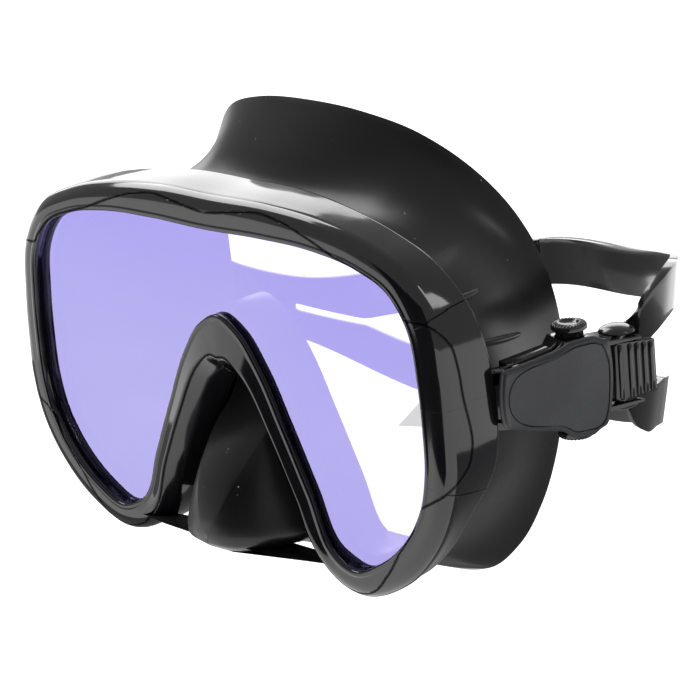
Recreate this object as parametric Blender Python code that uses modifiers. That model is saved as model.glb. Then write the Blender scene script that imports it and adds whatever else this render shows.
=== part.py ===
"""Single-lens diving mask with two squeeze-button strap buckles.

Lengths are in millimetres and become metres through MM. Heights are counted from the middle of the
lens, and the model's origin is BRIDGE_Z higher, on the lens's front face above the nose.
+X is the wearer's left, -Y is the way the wearer looks, +Z is up.
"""

import math

import bmesh
import bpy
import numpy as np
from mathutils import Matrix, Vector

MM = 0.001
BRIDGE_Z = 27.0
GAP = 0.3
RING_STEPS = 3

# Lens, retainer and frame. The outward direction of a station is in degrees, from +X towards +Z.
LENS_THICK = 4.0
LENS_MARGIN = 2.3
LIP_FRONT = -3.0
SEAM_WIDTH = 4.0
FLANGE_FRONT = 6.5
FLANGE_REAR = 8.5
FLANGE_MARGIN = 0.6
FRAME_WALL = 2.0
# Each station: lip x, lip z, outward direction, front width, side run, rear depth
STATIONS = [
    (0, 39.8, 90, 8.5, 1.0, 14.0),
    (20, 40.2, 90, 8.2, 1.0, 13.0),
    (39, 39.6, 86, 7.2, 0.8, 11.0),
    (54, 37.0, 76, 6.5, 0.6, 10.0),
    (64, 32.6, 56, 6.4, 0.8, 10.0),
    (69.3, 25.0, 22, 6.7, 1.4, 12.0),
    (71.5, 12.0, 5, 7.0, 1.9, 14.0),
    (72, 0.0, 0, 7.3, 2.0, 14.0),
    (71.6, -10.5, -8, 7.6, 1.5, 12.5),
    (69, -20.5, -26, 7.8, -1.2, 9.5),
    (63, -29.5, -48, 8.0, -2.0, 9.5),
    (53.5, -37.2, -62, 8.0, -1.5, 9.5),
    (44, -41.0, -88, 7.6, -0.8, 9.5),
    (36.2, -38.0, -145, 7.8, 0.5, 10.0),
    (29.2, -24.0, -158, 8.0, 0.8, 9.5),
    (21.6, -8.6, -156, 8.2, 0.8, 9.5),
    (14.0, 5.8, -146, 10.0, 1.0, 10.0),
    (7.2, 14.2, -122, 13.5, 1.5, 11.0),
    (0, 17.6, -90, 16.0, 1.5, 11.0),
]

# Skirt
SKIRT_WALL = 1.6
BEAD_Y = 5.25
BEAD_MARGIN = 2.0
SKIRT_INSET = -0.8
WALL_START = 10.0
WALL_RUN = 22.0
SEAL_RUN = 18.0
WALL_RINGS = 7
# Face seal, one row for each station: x, y, z, flare of the edge from straight back in degrees
SEAL_EDGE = [
    (0, 36.0, 64.5, 60),
    (19, 37.5, 63.0, 60),
    (34.5, 41.0, 58.5, 55),
    (45.5, 46.0, 50.5, 45),
    (53.5, 50.5, 40.5, 30),
    (58.5, 54.0, 29.0, 12),
    (61, 56.5, 15.5, 0),
    (61.5, 57.5, 2.0, -5),
    (60.5, 57.0, -12.0, -5),
    (58.5, 55.5, -25.0, 0),
    (54.5, 53.5, -38.0, 10),
    (49, 50.5, -49.0, 20),
    (42.5, 47.0, -55.5, 20),
    (35.5, 44.5, -57.0, 10),
    (29, 42.0, -56.0, 0),
    (22, 39.0, -54.0, 0),
    (15, 36.0, -52.0, 0),
    (7.5, 34.0, -50.5, 0),
    (0, 33.0, -50.0, 0),
]
# Nose pocket: it fills the notch below the bridge and stands out between the frame's two legs
NOSE_FROM = 12
NOSE_TO = 18
POCKET_CROWDING = 1.2
POCKET_BACK = 14.5
POCKET_EDGE = 0.62
POCKET_BLUNT = 2.6
POCKET_TOP = (7.0, 13.4)
POCKET_SPREAD = 0.59
POCKET_RIDGE = [(13.4, 13.5), (-3.0, 12.5), (-9.0, 3.0), (-19.0, -5.0), (-30.0, -9.5), (-39.5, -11.0)]
POCKET_BOTTOM = -39.5
POCKET_FLOOR = (24.0, 8.0, -43.5)

# Buckle, in its own frame: n outward, s rearward from the hinge, z up from the buckle's middle
# A cutter for a hole reaches THROUGH to each side of the buckle's middle
THROUGH = 13.0
HINGE_X = 80.0
HINGE_Y = 16.6
BUCKLE_Z = 4.3
BUCKLE_FLARE = 16.0
COVER_OUT = 5.2
COVER_THICK = 1.8
# Outlines of the cover and its inlay as (s, z), and the upper half of the tray's
COVER_OUTLINE = [(-1.8, 8.0), (5.5, 8.8), (14.0, 10.0), (17.6, 11.5), (24.0, 11.6), (26.0, 10.4),
                 (28.2, 9.8), (28.8, 4.6), (28.7, -0.4), (28.0, -6.6), (26.6, -11.4), (24.4, -12.0),
                 (22.6, -13.2), (16.7, -12.8), (14.4, -10.4), (4.2, -7.9), (-2.2, -5.8), (-2.8, -1.5),
                 (-2.6, 3.5)]
PAD_OUTLINE = [(-0.4, 3.8), (1.6, 6.3), (5.0, 7.6), (13.9, 8.8), (17.9, 10.2), (23.6, 10.2), (26.2, 9.0),
               (27.4, 4.5), (27.3, -0.4), (26.7, -6.4), (25.3, -10.2), (23.2, -11.4), (17.2, -11.2),
               (14.4, -9.2), (4.5, -6.8), (1.2, -5.0), (-0.6, -2.4), (-1.0, 0.8)]
PAD_DEPTH = 0.8
TRAY_HALF = [(3.4, 7.3), (15.6, 8.8), (17.1, 11.0), (24.0, 11.0), (25.4, 9.1), (38.0, 8.3)]
TRAY_IN = -6.2
FLOOR = 1.3
RAIL_THICK = 1.5
FRONT_WALL = 1.5
SLOT_FROM = 27.5
SLOT_HALF = 7.7
HINGE_PIN_R = 1.2
HINGE_HOLE_R = 1.3
BARREL_R = 2.8
BARREL_HALF = 4.2
KNUCKLE_HALF = 7.2
ARM_FRONT = 10.5
ARM_OUT = 1.4
BUTTON_N = -1.6
BUTTON_S = 20.8
BUTTON_PROFILE = [(0.0, 14.2), (1.6, 14.6), (3.8, 14.6), (4.4, 14.0), (4.4, 12.8), (3.4, 12.8), (3.4, 4.6),
                  (0.0, 4.6)]
BUTTON_HOLE_R = 3.75
SPRING_R = 1.6
SPRING_WIRE_R = 0.3
SPRING_HALF = 3.9
SPRING_TURNS = 4
SPRING_STEPS = 10
PAWL_N = 1.0
PAWL_S = 10.0
PAWL_HALF = 2.6
PAWL_BARREL_R = 1.6
PAWL_BLADE = 0.6
PAWL_REACH = 18.1
PAWL_TOOTH = 1.2
PAWL_PIN_R = 0.8
PAWL_HOLE_R = 0.9
PAWL_PIN_HALF = 7.9
ROLLER_N = -2.6
ROLLER_S = 34.5
ROLLER_R = 2.9
ROLLER_HALF = 7.4
ROLLER_HOLE_R = 1.35
ROLLER_PIN_R = 1.25
ROLLER_CAP_R = 4.5
ROLLER_CAP_LOW = 8.8
ROLLER_CAP_HIGH = 10.8

# Strap
STRAP_THICK = 2.2
NECK_HALF = 7.3
TIP_HALF = 6.5
TIP_RUN = 7.5
TIP_BOW_R = 60.0
NECK_RUN = 4.0
NECK_BOW_R = 40.0
STRAP_SAMPLES = 24
BAND = 13.0
SPLIT_LIP = 1.0
LEAN = 0.0025
# From each neck to the middle of the back: distance out, y, top z, bottom z
STRAP_RIGHT = [(84.8, 59.5, 19.0, -12.0), (84.8, 65.0, 23.5, -17.5), (82.5, 71.5, 25.0, -18.5),
               (77.0, 79.5, 24.0, -21.0), (66.0, 90.0, 20.5, -26.0), (40.0, 106.0, 14.0, -35.0)]
STRAP_LEFT = [(85.5, 63.0, 8.5, -7.5), (80.0, 77.5, -1.0, -16.0), (67.5, 89.5, -6.0, -25.0),
              (40.0, 106.0, -3.0, -40.0)]
STRAP_BACK = (0.0, 117.0, 8.0, -41.0)
# Places on the strap are counted in rows from the right neck: each side piece's length, the slot's ends
RIGHT_LENGTH = 3.0
LEFT_LENGTH = 2.0
SLOT_ENDS = (0.3, 9.2)
SLOT_RAMP = 0.5


# ---------------------------------------------------------------- helpers

def at(x, y, z):
    """A point in millimetres from the middle of the lens, in the model's frame."""
    return Vector((x, y, z - BRIDGE_Z)) * MM


def new_collection(name):
    collection = bpy.data.collections.new(name)
    bpy.context.scene.collection.children.link(collection)
    return collection


def principled(name, colour, roughness, metallic=0.0, alpha=1.0):
    material = bpy.data.materials.new(name)
    material.use_nodes = True
    shader = material.node_tree.nodes["Principled BSDF"]
    shader.inputs["Base Color"].default_value = (*colour, 1.0)
    shader.inputs["Roughness"].default_value = roughness
    shader.inputs["Metallic"].default_value = metallic
    shader.inputs["Alpha"].default_value = alpha
    return material


def add_object(name, data, collection, parent=None, location=(0, 0, 0)):
    obj = bpy.data.objects.new(name, data)
    collection.objects.link(obj)
    obj.parent = parent
    obj.location = Vector(location)
    return obj


def finish_mesh(mesh, degrees=35):
    """Weld a closed mesh, turn its faces outward and shade it."""
    bm = bmesh.new()
    bm.from_mesh(mesh)
    bmesh.ops.remove_doubles(bm, verts=bm.verts, dist=0.00001)
    bmesh.ops.recalc_face_normals(bm, faces=bm.faces)
    bm.to_mesh(mesh)
    bm.free()
    mesh.shade_smooth()
    mesh.set_sharp_from_angle(angle=math.radians(degrees))
    return mesh


def bake(obj):
    """The object's evaluated mesh, finished; the object itself is removed."""
    graph = bpy.context.evaluated_depsgraph_get()
    mesh = bpy.data.meshes.new_from_object(obj.evaluated_get(graph))
    mesh.transform(obj.matrix_basis)
    bpy.data.objects.remove(obj, do_unlink=True)
    return finish_mesh(mesh)


def sheet(rings, wrap=True, close=False, skip=()):
    """A mesh of quads between rings of points; skip lists the (ring, step) quads left out."""
    count = len(rings[0])
    verts = [point for ring in rings for point in ring]
    faces = []
    for k in range(len(rings) if close else len(rings) - 1):
        for i in range(count if wrap else count - 1):
            if (k, i) in skip:
                continue
            low, high = k * count, (k + 1) % len(rings) * count
            faces.append((low + i, low + (i + 1) % count, high + (i + 1) % count, high + i))
    mesh = bpy.data.meshes.new("sheet")
    mesh.from_pydata([tuple(v) for v in verts], [], faces)
    return mesh


def thickened(mesh, thickness):
    """A closed wall with the mesh as its middle surface."""
    obj = add_object("thick", mesh, CUTTERS)
    solid = obj.modifiers.new("Solidify", "SOLIDIFY")
    solid.thickness = thickness * MM
    solid.offset = 0.0
    solid.use_even_offset = True
    return bake(obj)


def prism(outline, low, high, bevel=0.0):
    """A flat outline of (s, z) points, filled and standing from n = low to n = high."""
    curve = bpy.data.curves.new("outline", "CURVE")
    curve.dimensions = "2D"
    curve.fill_mode = "BOTH"
    curve.extrude = (high - low) / 2 * MM
    spline = curve.splines.new("POLY")
    spline.points.add(len(outline) - 1)
    for spot, (s, z) in zip(spline.points, outline):
        spot.co = (s * MM, z * MM, 0, 1)
    spline.use_cyclic_u = True
    obj = add_object("prism", curve, CUTTERS)
    obj.matrix_basis = Matrix(((0, 0, 1, (low + high) / 2 * MM), (1, 0, 0, 0), (0, 1, 0, 0), (0, 0, 0, 1)))
    mesh = bake(obj)
    if bevel:
        solid = add_object("bevelled", mesh, CUTTERS)
        edge = solid.modifiers.new("Bevel", "BEVEL")
        edge.width = bevel * MM
        edge.segments = 2
        edge.limit_method = "ANGLE"
        mesh = bake(solid)
    return mesh


def both_halves(half):
    """An outline closed by its mirror image below z = 0."""
    return half + [(s, -z) for s, z in reversed(half)]


def turned(profile, segments):
    """A solid turned about Z from (radius, z) points that run from its top to its bottom."""
    mesh = bpy.data.meshes.new("profile")
    spots = [(r * MM, 0, z * MM) for r, z in profile]
    mesh.from_pydata(spots, [(i, i + 1) for i in range(len(spots) - 1)], [])
    obj = add_object("turned", mesh, CUTTERS)
    screw = obj.modifiers.new("Screw", "SCREW")
    screw.steps = segments
    screw.render_steps = segments
    screw.use_merge_vertices = True
    screw.merge_threshold = 0.00001
    return bake(obj)


def cylinder(radius, low, high, segments=24, spot=(0, 0)):
    mesh = bpy.data.meshes.new("cylinder")
    bm = bmesh.new()
    middle = Matrix.Translation(Vector((spot[0], spot[1], (low + high) / 2)) * MM)
    bmesh.ops.create_cone(bm, cap_ends=True, segments=segments, radius1=radius * MM, radius2=radius * MM,
                          depth=(high - low) * MM, matrix=middle)
    bm.to_mesh(mesh)
    bm.free()
    return mesh


def box(low, high):
    mesh = bpy.data.meshes.new("box")
    bm = bmesh.new()
    size = Vector(high) - Vector(low)
    middle = (Vector(high) + Vector(low)) / 2 * MM
    place = Matrix.Translation(middle) @ Matrix.Diagonal((*(size * MM), 1))
    bmesh.ops.create_cube(bm, size=1.0, matrix=place)
    bm.to_mesh(mesh)
    bm.free()
    return mesh


def combined(mesh, steps):
    """The mesh after the Boolean steps, each an operation and a mesh."""
    obj = add_object("base", mesh, CUTTERS)
    tools = []
    for operation, tool_mesh in steps:
        tool = add_object("tool", tool_mesh, CUTTERS)
        tool.hide_render = True
        tool.display_type = "WIRE"
        modifier = obj.modifiers.new(operation.title(), "BOOLEAN")
        modifier.operation = operation
        modifier.object = tool
        tools.append(tool)
    result = bake(obj)
    for tool in tools:
        bpy.data.objects.remove(tool, do_unlink=True)
    return result


def smooth(rows, steps, span):
    """Rows on a smooth curve through all but the first and last, which only steer its ends."""
    rows = np.array(rows, float)
    gaps = np.linalg.norm(np.diff(rows[:, :span], axis=0), axis=1)
    slopes = []
    for i in range(1, len(rows) - 1):
        before = (rows[i] - rows[i - 1]) / gaps[i - 1]
        after = (rows[i + 1] - rows[i]) / gaps[i]
        slopes.append((before * gaps[i] + after * gaps[i - 1]) / (gaps[i] + gaps[i - 1]))
    points = []
    for i in range(1, len(rows) - 2):
        for step in range(steps):
            t = step / steps
            a, b = rows[i], rows[i + 1]
            slope_a, slope_b = slopes[i - 1] * gaps[i], slopes[i] * gaps[i]
            points.append((2 * t**3 - 3 * t**2 + 1) * a + (t**3 - 2 * t**2 + t) * slope_a
                          + (3 * t**2 - 2 * t**3) * b + (t**3 - t**2) * slope_b)
    points.append(rows[-2])
    return points


def mirrored_mesh(mesh):
    other = mesh.copy()
    other.transform(Matrix.Scale(-1, 4, (1, 0, 0)))
    other.flip_normals()
    return other


# ---------------------------------------------------------------- lens, retainer and frame

def fine_stations():
    first, last = STATIONS[1], STATIONS[-2]
    before = (-first[0], first[1], 180 - first[2], *first[3:])
    after = (-last[0], last[1], -180 - last[2], *last[3:])
    return smooth([before, *STATIONS, after], RING_STEPS, 2)


def around(half):
    """A closed ring from its right half, which starts and ends on the plane of symmetry."""
    return half + [Vector((-p.x, p.y, p.z)) for p in half[-2:0:-1]]


def outward(station, distance, y):
    x, z, degrees = station[:3]
    angle = math.radians(degrees)
    return at(x + distance * math.cos(angle), y, z + distance * math.sin(angle))


def ring_solid(section):
    """A closed ring whose cross-section at each station is a list of (distance outward, y)."""
    halves = zip(*[[outward(station, r, y) for r, y in section(station)] for station in fine_stations()])
    return finish_mesh(sheet([around(list(half)) for half in halves], close=True))


def retainer_section(station):
    return [(0.0, LIP_FRONT + 0.5), (0.5, LIP_FRONT), (SEAM_WIDTH, LIP_FRONT + 0.1),
            (SEAM_WIDTH, FLANGE_FRONT - GAP), (LENS_MARGIN + GAP, FLANGE_FRONT - GAP),
            (LENS_MARGIN + GAP, -GAP), (0.0, -GAP)]


def frame_section(station):
    width, run, depth = station[3:]
    inner = SEAM_WIDTH + GAP
    return [(inner, LIP_FRONT + 0.1), (width - 1.2, LIP_FRONT + 0.9), (width, LIP_FRONT + 2.6),
            (width + run * 0.6, depth * 0.5), (width + run, depth), (width + run - FRAME_WALL, depth),
            (width + min(run, 0.0) - FRAME_WALL, FLANGE_REAR), (FLANGE_MARGIN, FLANGE_REAR),
            (FLANGE_MARGIN, FLANGE_FRONT), (inner, FLANGE_FRONT)]


def make_lens():
    stations = fine_stations()
    rings = [around([outward(station, LENS_MARGIN, y) for station in stations]) for y in (0.0, LENS_THICK)]
    mesh = sheet(rings)
    count = len(rings[0])
    bm = bmesh.new()
    bm.from_mesh(mesh)
    bm.verts.ensure_lookup_table()
    bm.faces.new([bm.verts[i] for i in range(count)])
    bm.faces.new([bm.verts[count + i] for i in range(count)])
    bm.to_mesh(mesh)
    bm.free()
    return finish_mesh(mesh)


def make_frame():
    """The frame ring with two hinge knuckles behind each temple."""
    steps = []
    for side in (1, -1):
        for low, high in ((BARREL_HALF + GAP, KNUCKLE_HALF), (-KNUCKLE_HALF, -BARREL_HALF - GAP)):
            z_low, z_high = low + BUCKLE_Z - BRIDGE_Z, high + BUCKLE_Z - BRIDGE_Z
            spot = (side * HINGE_X, HINGE_Y)
            steps.append(("UNION", cylinder(BARREL_R, z_low, z_high, 16, spot)))
            edges = sorted((side * (HINGE_X - BARREL_R + 0.2), side * (HINGE_X + ARM_OUT)))
            steps.append(("UNION", box((edges[0], ARM_FRONT, z_low), (edges[1], HINGE_Y, z_high))))
        notch = (BUCKLE_Z - BRIDGE_Z - BARREL_HALF - GAP, BUCKLE_Z - BRIDGE_Z + BARREL_HALF + GAP)
        steps.append(("DIFFERENCE", cylinder(BARREL_R + GAP, *notch, 24, (side * HINGE_X, HINGE_Y))))
        middle = BUCKLE_Z - BRIDGE_Z
        hole = cylinder(HINGE_HOLE_R, middle - THROUGH, middle + THROUGH, 16, (side * HINGE_X, HINGE_Y))
        steps.append(("DIFFERENCE", hole))
    return combined(ring_solid(frame_section), steps)


# ---------------------------------------------------------------- skirt

def bend(start, first, second, end, t):
    return (1 - t)**3 * start + 3 * (1 - t)**2 * t * first + 3 * (1 - t) * t**2 * second + t**3 * end


def wall_point(station, seal, t):
    """A point on the skirt's plain wall, from the lens at t = 0 to the face seal at t = 1."""
    start = outward(station, SKIRT_INSET, WALL_START)
    end = at(*seal[:3])
    flare = math.radians(seal[3])
    side = Vector((end.x, 0, at(0, 0, seal[2]).z + (BRIDGE_Z - 10) * MM)).normalized()
    arrive = Vector((0, math.cos(flare), 0)) + side * math.sin(flare)
    return bend(start, start + Vector((0, WALL_RUN * MM, 0)), end - arrive * SEAL_RUN * MM, end, t)


def pocket_point(station, seal, share, k):
    """A point on the nose pocket; share is 0 in the middle and 1 at the notch's lower corner."""
    if k == WALL_RINGS:
        return at(*seal[:3])
    if k == WALL_RINGS - 1:
        half, y, z = POCKET_FLOOR
        return at(half * share, y + 12 * share**2, z)
    part = k / (WALL_RINGS - 2)
    start_z = station[1]
    across = 1 + (share - 1) * part**0.8
    z = start_z + (POCKET_BOTTOM + 3 * across**2 - start_z) * part
    half = POCKET_TOP[0] + (POCKET_TOP[1] - z) * POCKET_SPREAD
    if start_z > POCKET_TOP[1]:
        half = max(half, station[0] + 0.5)
    heights, depths = zip(*reversed(POCKET_RIDGE))
    ridge = float(np.interp(z, heights, depths))
    y = ridge + (POCKET_BACK - ridge) * min(across / POCKET_EDGE, 1)**POCKET_BLUNT
    return at(half * across, y, z)


def make_skirt():
    """One moulding: a bead behind the lens, the wall to the face seal, and the nose pocket."""
    stations = fine_stations()
    first, last = SEAL_EDGE[1], SEAL_EDGE[-2]
    seals = smooth([(-first[0], *first[1:]), *SEAL_EDGE, (-last[0], *last[1:])], RING_STEPS, 3)
    rings = [[outward(station, BEAD_MARGIN, BEAD_Y) for station in stations],
             [outward(station, SKIRT_INSET, BEAD_Y) for station in stations]]
    for k in range(WALL_RINGS + 1):
        ring = []
        for i, (station, seal) in enumerate(zip(stations, seals)):
            place = i / RING_STEPS
            point = wall_point(station, seal, k / WALL_RINGS)
            nose = min(max(place - NOSE_FROM, 0), 1)
            if nose:
                share = ((NOSE_TO - place) / (NOSE_TO - NOSE_FROM))**POCKET_CROWDING
                pocket = outward(station, SKIRT_INSET, POCKET_BACK)
                if k:
                    pocket = pocket_point(station, seal, share, k)
                point = point.lerp(pocket, nose)
            ring.append(point)
        rings.append(ring)
    return thickened(sheet([around(ring) for ring in rings]), SKIRT_WALL)


# ---------------------------------------------------------------- buckle

def make_cover():
    recess = prism(PAD_OUTLINE, COVER_OUT - PAD_DEPTH, COVER_OUT + 1)
    plate = prism(COVER_OUTLINE, COVER_OUT - COVER_THICK, COVER_OUT, bevel=0.5)
    return combined(plate, [("DIFFERENCE", recess)])


def inset(outline, distance):
    """A closed clockwise outline moved inward by the distance."""
    spots = [Vector(spot) for spot in outline]
    moved = []
    for before, here, after in zip(spots[-1:] + spots[:-1], spots, spots[1:] + spots[:1]):
        first, second = (here - before).normalized(), (after - here).normalized()
        sides = Vector((first.y + second.y, -first.x - second.x))
        moved.append(tuple(here + sides * distance / (1 + first.dot(second))))
    return moved


def make_pad():
    return prism(inset(PAD_OUTLINE, GAP), COVER_OUT - PAD_DEPTH + GAP, COVER_OUT)


def make_body():
    """The open tray behind the cover, its hinge barrel and its holes."""
    top = COVER_OUT - COVER_THICK - GAP
    cavity_half = [(TRAY_HALF[0][0] + FRONT_WALL, TRAY_HALF[0][1] - RAIL_THICK)]
    cavity_half += [(s, z - RAIL_THICK) for s, z in TRAY_HALF[1:5]]
    cavity_half += [(SLOT_FROM + 12, SLOT_HALF)]
    front = TRAY_HALF[0][0] + FRONT_WALL / 2
    steps = [
        ("DIFFERENCE", prism(both_halves(cavity_half), TRAY_IN + FLOOR, top + 1)),
        ("DIFFERENCE", box((TRAY_IN - 1, SLOT_FROM, -SLOT_HALF), (top + 1, SLOT_FROM + 14, SLOT_HALF))),
        ("UNION", box((-BARREL_R + 0.3, 0, -BARREL_HALF), (BARREL_R - 0.6, front, BARREL_HALF))),
        ("UNION", cylinder(BARREL_R, -BARREL_HALF, BARREL_HALF, 16)),
        ("DIFFERENCE", cylinder(HINGE_HOLE_R, -THROUGH, THROUGH, 16)),
        ("DIFFERENCE", cylinder(BUTTON_HOLE_R, -THROUGH, THROUGH, 24, (BUTTON_N, BUTTON_S))),
        ("DIFFERENCE", cylinder(ROLLER_HOLE_R, -THROUGH, THROUGH, 16, (ROLLER_N, ROLLER_S))),
        ("DIFFERENCE", cylinder(PAWL_HOLE_R, -THROUGH, THROUGH, 12, (PAWL_N, PAWL_S))),
    ]
    return combined(prism(both_halves(TRAY_HALF), TRAY_IN, top), steps)


def make_spring():
    curve = bpy.data.curves.new("spring", "CURVE")
    curve.dimensions = "3D"
    curve.bevel_depth = SPRING_WIRE_R * MM
    curve.bevel_resolution = 1
    curve.use_fill_caps = True
    count = SPRING_TURNS * SPRING_STEPS + 1
    spline = curve.splines.new("POLY")
    spline.points.add(count - 1)
    for i, spot in enumerate(spline.points):
        angle = 2 * math.pi * i / SPRING_STEPS
        z = -SPRING_HALF + 2 * SPRING_HALF * i / (count - 1)
        spot.co = (SPRING_R * math.cos(angle) * MM, SPRING_R * math.sin(angle) * MM, z * MM, 1)
    return bake(add_object("spring", curve, CUTTERS))


def make_pawl():
    """The strap lock about its own pivot: a barrel, a flat blade and a tooth at its end."""
    blade = box((-PAWL_BLADE, 0, -PAWL_HALF), (PAWL_BLADE, PAWL_REACH, PAWL_HALF))
    tooth = box((-PAWL_TOOTH, PAWL_REACH - 1.6, -PAWL_HALF + 0.2), (0, PAWL_REACH - 0.2, PAWL_HALF - 0.2))
    barrel = cylinder(PAWL_BARREL_R, -PAWL_HALF - 0.4, PAWL_HALF + 0.4, 16)
    hole = cylinder(PAWL_HOLE_R, -THROUGH, THROUGH, 12)
    return combined(blade, [("UNION", tooth), ("UNION", barrel), ("DIFFERENCE", hole)])


def make_roller():
    tube = cylinder(ROLLER_R, -ROLLER_HALF, ROLLER_HALF, 24)
    return combined(tube, [("DIFFERENCE", cylinder(ROLLER_HOLE_R, -THROUGH, THROUGH, 16))])


def make_roller_pin():
    rim, top, low = ROLLER_CAP_R, ROLLER_CAP_HIGH, ROLLER_CAP_LOW
    dome = [(rim * math.cos(a), low + 0.6 + (top - low - 0.6) * math.sin(a)) for a in (0.0, 0.4, 0.8, 1.2)]
    half = [(0.0, top), *reversed(dome), (rim - 0.2, low), (ROLLER_PIN_R, low)]
    return turned(half + [(r, -z) for r, z in reversed(half)], 20)


# ---------------------------------------------------------------- strap

def bow(run, radius):
    return run**2 / (2 * radius)


def tail_rows():
    """Free outer tip, turn round the roller's front and inner run, as (n, s, half height)."""
    reach = ROLLER_R + GAP + STRAP_THICK / 2
    tip = [(TIP_RUN * (1 - i / 4), NECK_HALF + (TIP_HALF - NECK_HALF) * (1 - i / 4)) for i in range(4)]
    turn = [math.radians(180 * i / 8) for i in range(9)]
    inner = [NECK_RUN * (i + 1) / 3 for i in range(3)]
    return ([(ROLLER_N + reach - bow(run, TIP_BOW_R), ROLLER_S + run, half) for run, half in tip]
            + [(ROLLER_N + reach * math.cos(a), ROLLER_S - reach * math.sin(a), NECK_HALF) for a in turn]
            + [(ROLLER_N - reach - bow(run, NECK_BOW_R), ROLLER_S + run, NECK_HALF) for run in inner])


def make_tail():
    rows = [[Vector((n, s, z)) * MM for z in (-half, half)] for n, s, half in tail_rows()]
    return thickened(sheet(rows, wrap=False), STRAP_THICK)


def from_buckle(n, s):
    """Plan position of a point of the right buckle."""
    flare = math.radians(BUCKLE_FLARE)
    x = HINGE_X + n * math.cos(flare) + s * math.sin(flare)
    return x, HINGE_Y - n * math.sin(flare) + s * math.cos(flare)


def strap_rows():
    """Rows of x, y, top z and bottom z along the strap from the right neck to the left neck."""
    ends = []
    for run in (0.0, NECK_RUN + 2 * GAP):
        inner = ROLLER_N - ROLLER_R - GAP - STRAP_THICK / 2 - bow(run, NECK_BOW_R)
        x, y = from_buckle(inner, ROLLER_S + run)
        ends.append((x, y, BUCKLE_Z + NECK_HALF, BUCKLE_Z - NECK_HALF))
    left = [(-x, y, top, low) for x, y, top, low in [*ends, *STRAP_LEFT]]
    return [*ends, *STRAP_RIGHT, STRAP_BACK, *reversed(left)]


def strap_at(place):
    """The strap's x, y, top z and bottom z at a place counted in rows."""
    fine = smooth(strap_rows(), STRAP_SAMPLES, 2)
    spot = min(max(place * STRAP_SAMPLES, 0), len(fine) - 1.001)
    i = int(spot)
    return fine[i] + (fine[i + 1] - fine[i]) * (spot - i)


def strap_piece(start, end, count):
    """The strap between two places, with a slot between its two bands inside SLOT_ENDS."""
    rows, skip = [], set()
    places = [start + (end - start) * i / count for i in range(count + 1)]
    for i, place in enumerate(places):
        x, y, top, low = strap_at(place)
        middle, band = (top + low) / 2, min(BAND, (top - low) / 2 - SPLIT_LIP)
        opening = min(max(min(place - SLOT_ENDS[0], SLOT_ENDS[1] - place) / SLOT_RAMP, 0), 1)
        slot = SPLIT_LIP + ((top - low) / 2 - band - SPLIT_LIP) * math.sin(opening * math.pi / 2)
        lean = LEAN * math.sin(opening * math.pi / 2)
        heights = (low, middle - slot, middle + slot, top)
        rows.append([at(x * (1 + lean * (z - middle)), y, z) for z in heights])
        if i and SLOT_ENDS[0] <= places[i - 1] and place <= SLOT_ENDS[1]:
            skip.add((i - 1, 1))
    return thickened(sheet(rows, wrap=False, skip=skip), STRAP_THICK)


# ---------------------------------------------------------------- assembly

def place_buckle(side, name, materials):
    """All pieces of one buckle, under an empty on its hinge axis."""
    empty = add_object("hinge_" + name, None, PARTS, location=at(side * HINGE_X, HINGE_Y, BUCKLE_Z))
    empty.rotation_euler.z = -side * math.radians(BUCKLE_FLARE)
    half_turn = Matrix.Rotation(math.pi, 4, "Y")
    for piece, spot, mesh, slot in BUCKLE_PIECES:
        mesh = mesh.copy()
        if piece == "button_bottom":
            mesh.transform(half_turn)
        if side < 0:
            mesh = mirrored_mesh(mesh)
        mesh.materials.clear()
        mesh.materials.append(materials[slot])
        n, s = spot
        add_object(f"{piece}_{name}", mesh, PARTS, empty, Vector((side * n, s, 0)) * MM)


def clear_scene():
    for obj in list(bpy.data.objects):
        bpy.data.objects.remove(obj, do_unlink=True)


clear_scene()
PARTS = new_collection("diving_mask")
CUTTERS = new_collection("cutters")

MATERIALS = {
    "frame": principled("frame_black_gloss", (0.012, 0.012, 0.014), 0.12),
    "lens": principled("lens_violet_mirror", (0.45, 0.38, 0.95), 0.02, alpha=0.35),
    "skirt": principled("skirt_silicone", (0.010, 0.010, 0.011), 0.38),
    "strap": principled("strap_silicone", (0.014, 0.014, 0.016), 0.25),
    "cover": principled("cover_charcoal", (0.045, 0.046, 0.050), 0.48),
    "pad": principled("pad_charcoal", (0.055, 0.056, 0.060), 0.55),
    "body": principled("buckle_black", (0.018, 0.018, 0.020), 0.30),
    "steel": principled("pin_steel", (0.60, 0.60, 0.62), 0.25, metallic=1.0),
}

BUTTON_MESH = turned(BUTTON_PROFILE, 24)
BUCKLE_PIECES = [
    ("buckle_body", (0, 0), make_body(), "body"),
    ("buckle_cover", (0, 0), make_cover(), "cover"),
    ("cover_pad", (0, 0), make_pad(), "pad"),
    ("hinge_pin", (0, 0), cylinder(HINGE_PIN_R, -KNUCKLE_HALF, KNUCKLE_HALF, 16), "steel"),
    ("button_top", (BUTTON_N, BUTTON_S), BUTTON_MESH, "body"),
    ("button_bottom", (BUTTON_N, BUTTON_S), BUTTON_MESH, "body"),
    ("button_spring", (BUTTON_N, BUTTON_S), make_spring(), "steel"),
    ("strap_pawl", (PAWL_N, PAWL_S), make_pawl(), "body"),
    ("pawl_pin", (PAWL_N, PAWL_S), cylinder(PAWL_PIN_R, -PAWL_PIN_HALF, PAWL_PIN_HALF, 12), "steel"),
    ("strap_roller", (ROLLER_N, ROLLER_S), make_roller(), "body"),
    ("roller_pin", (ROLLER_N, ROLLER_S), make_roller_pin(), "body"),
    ("strap_tail", (0, 0), make_tail(), "strap"),
]

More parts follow.
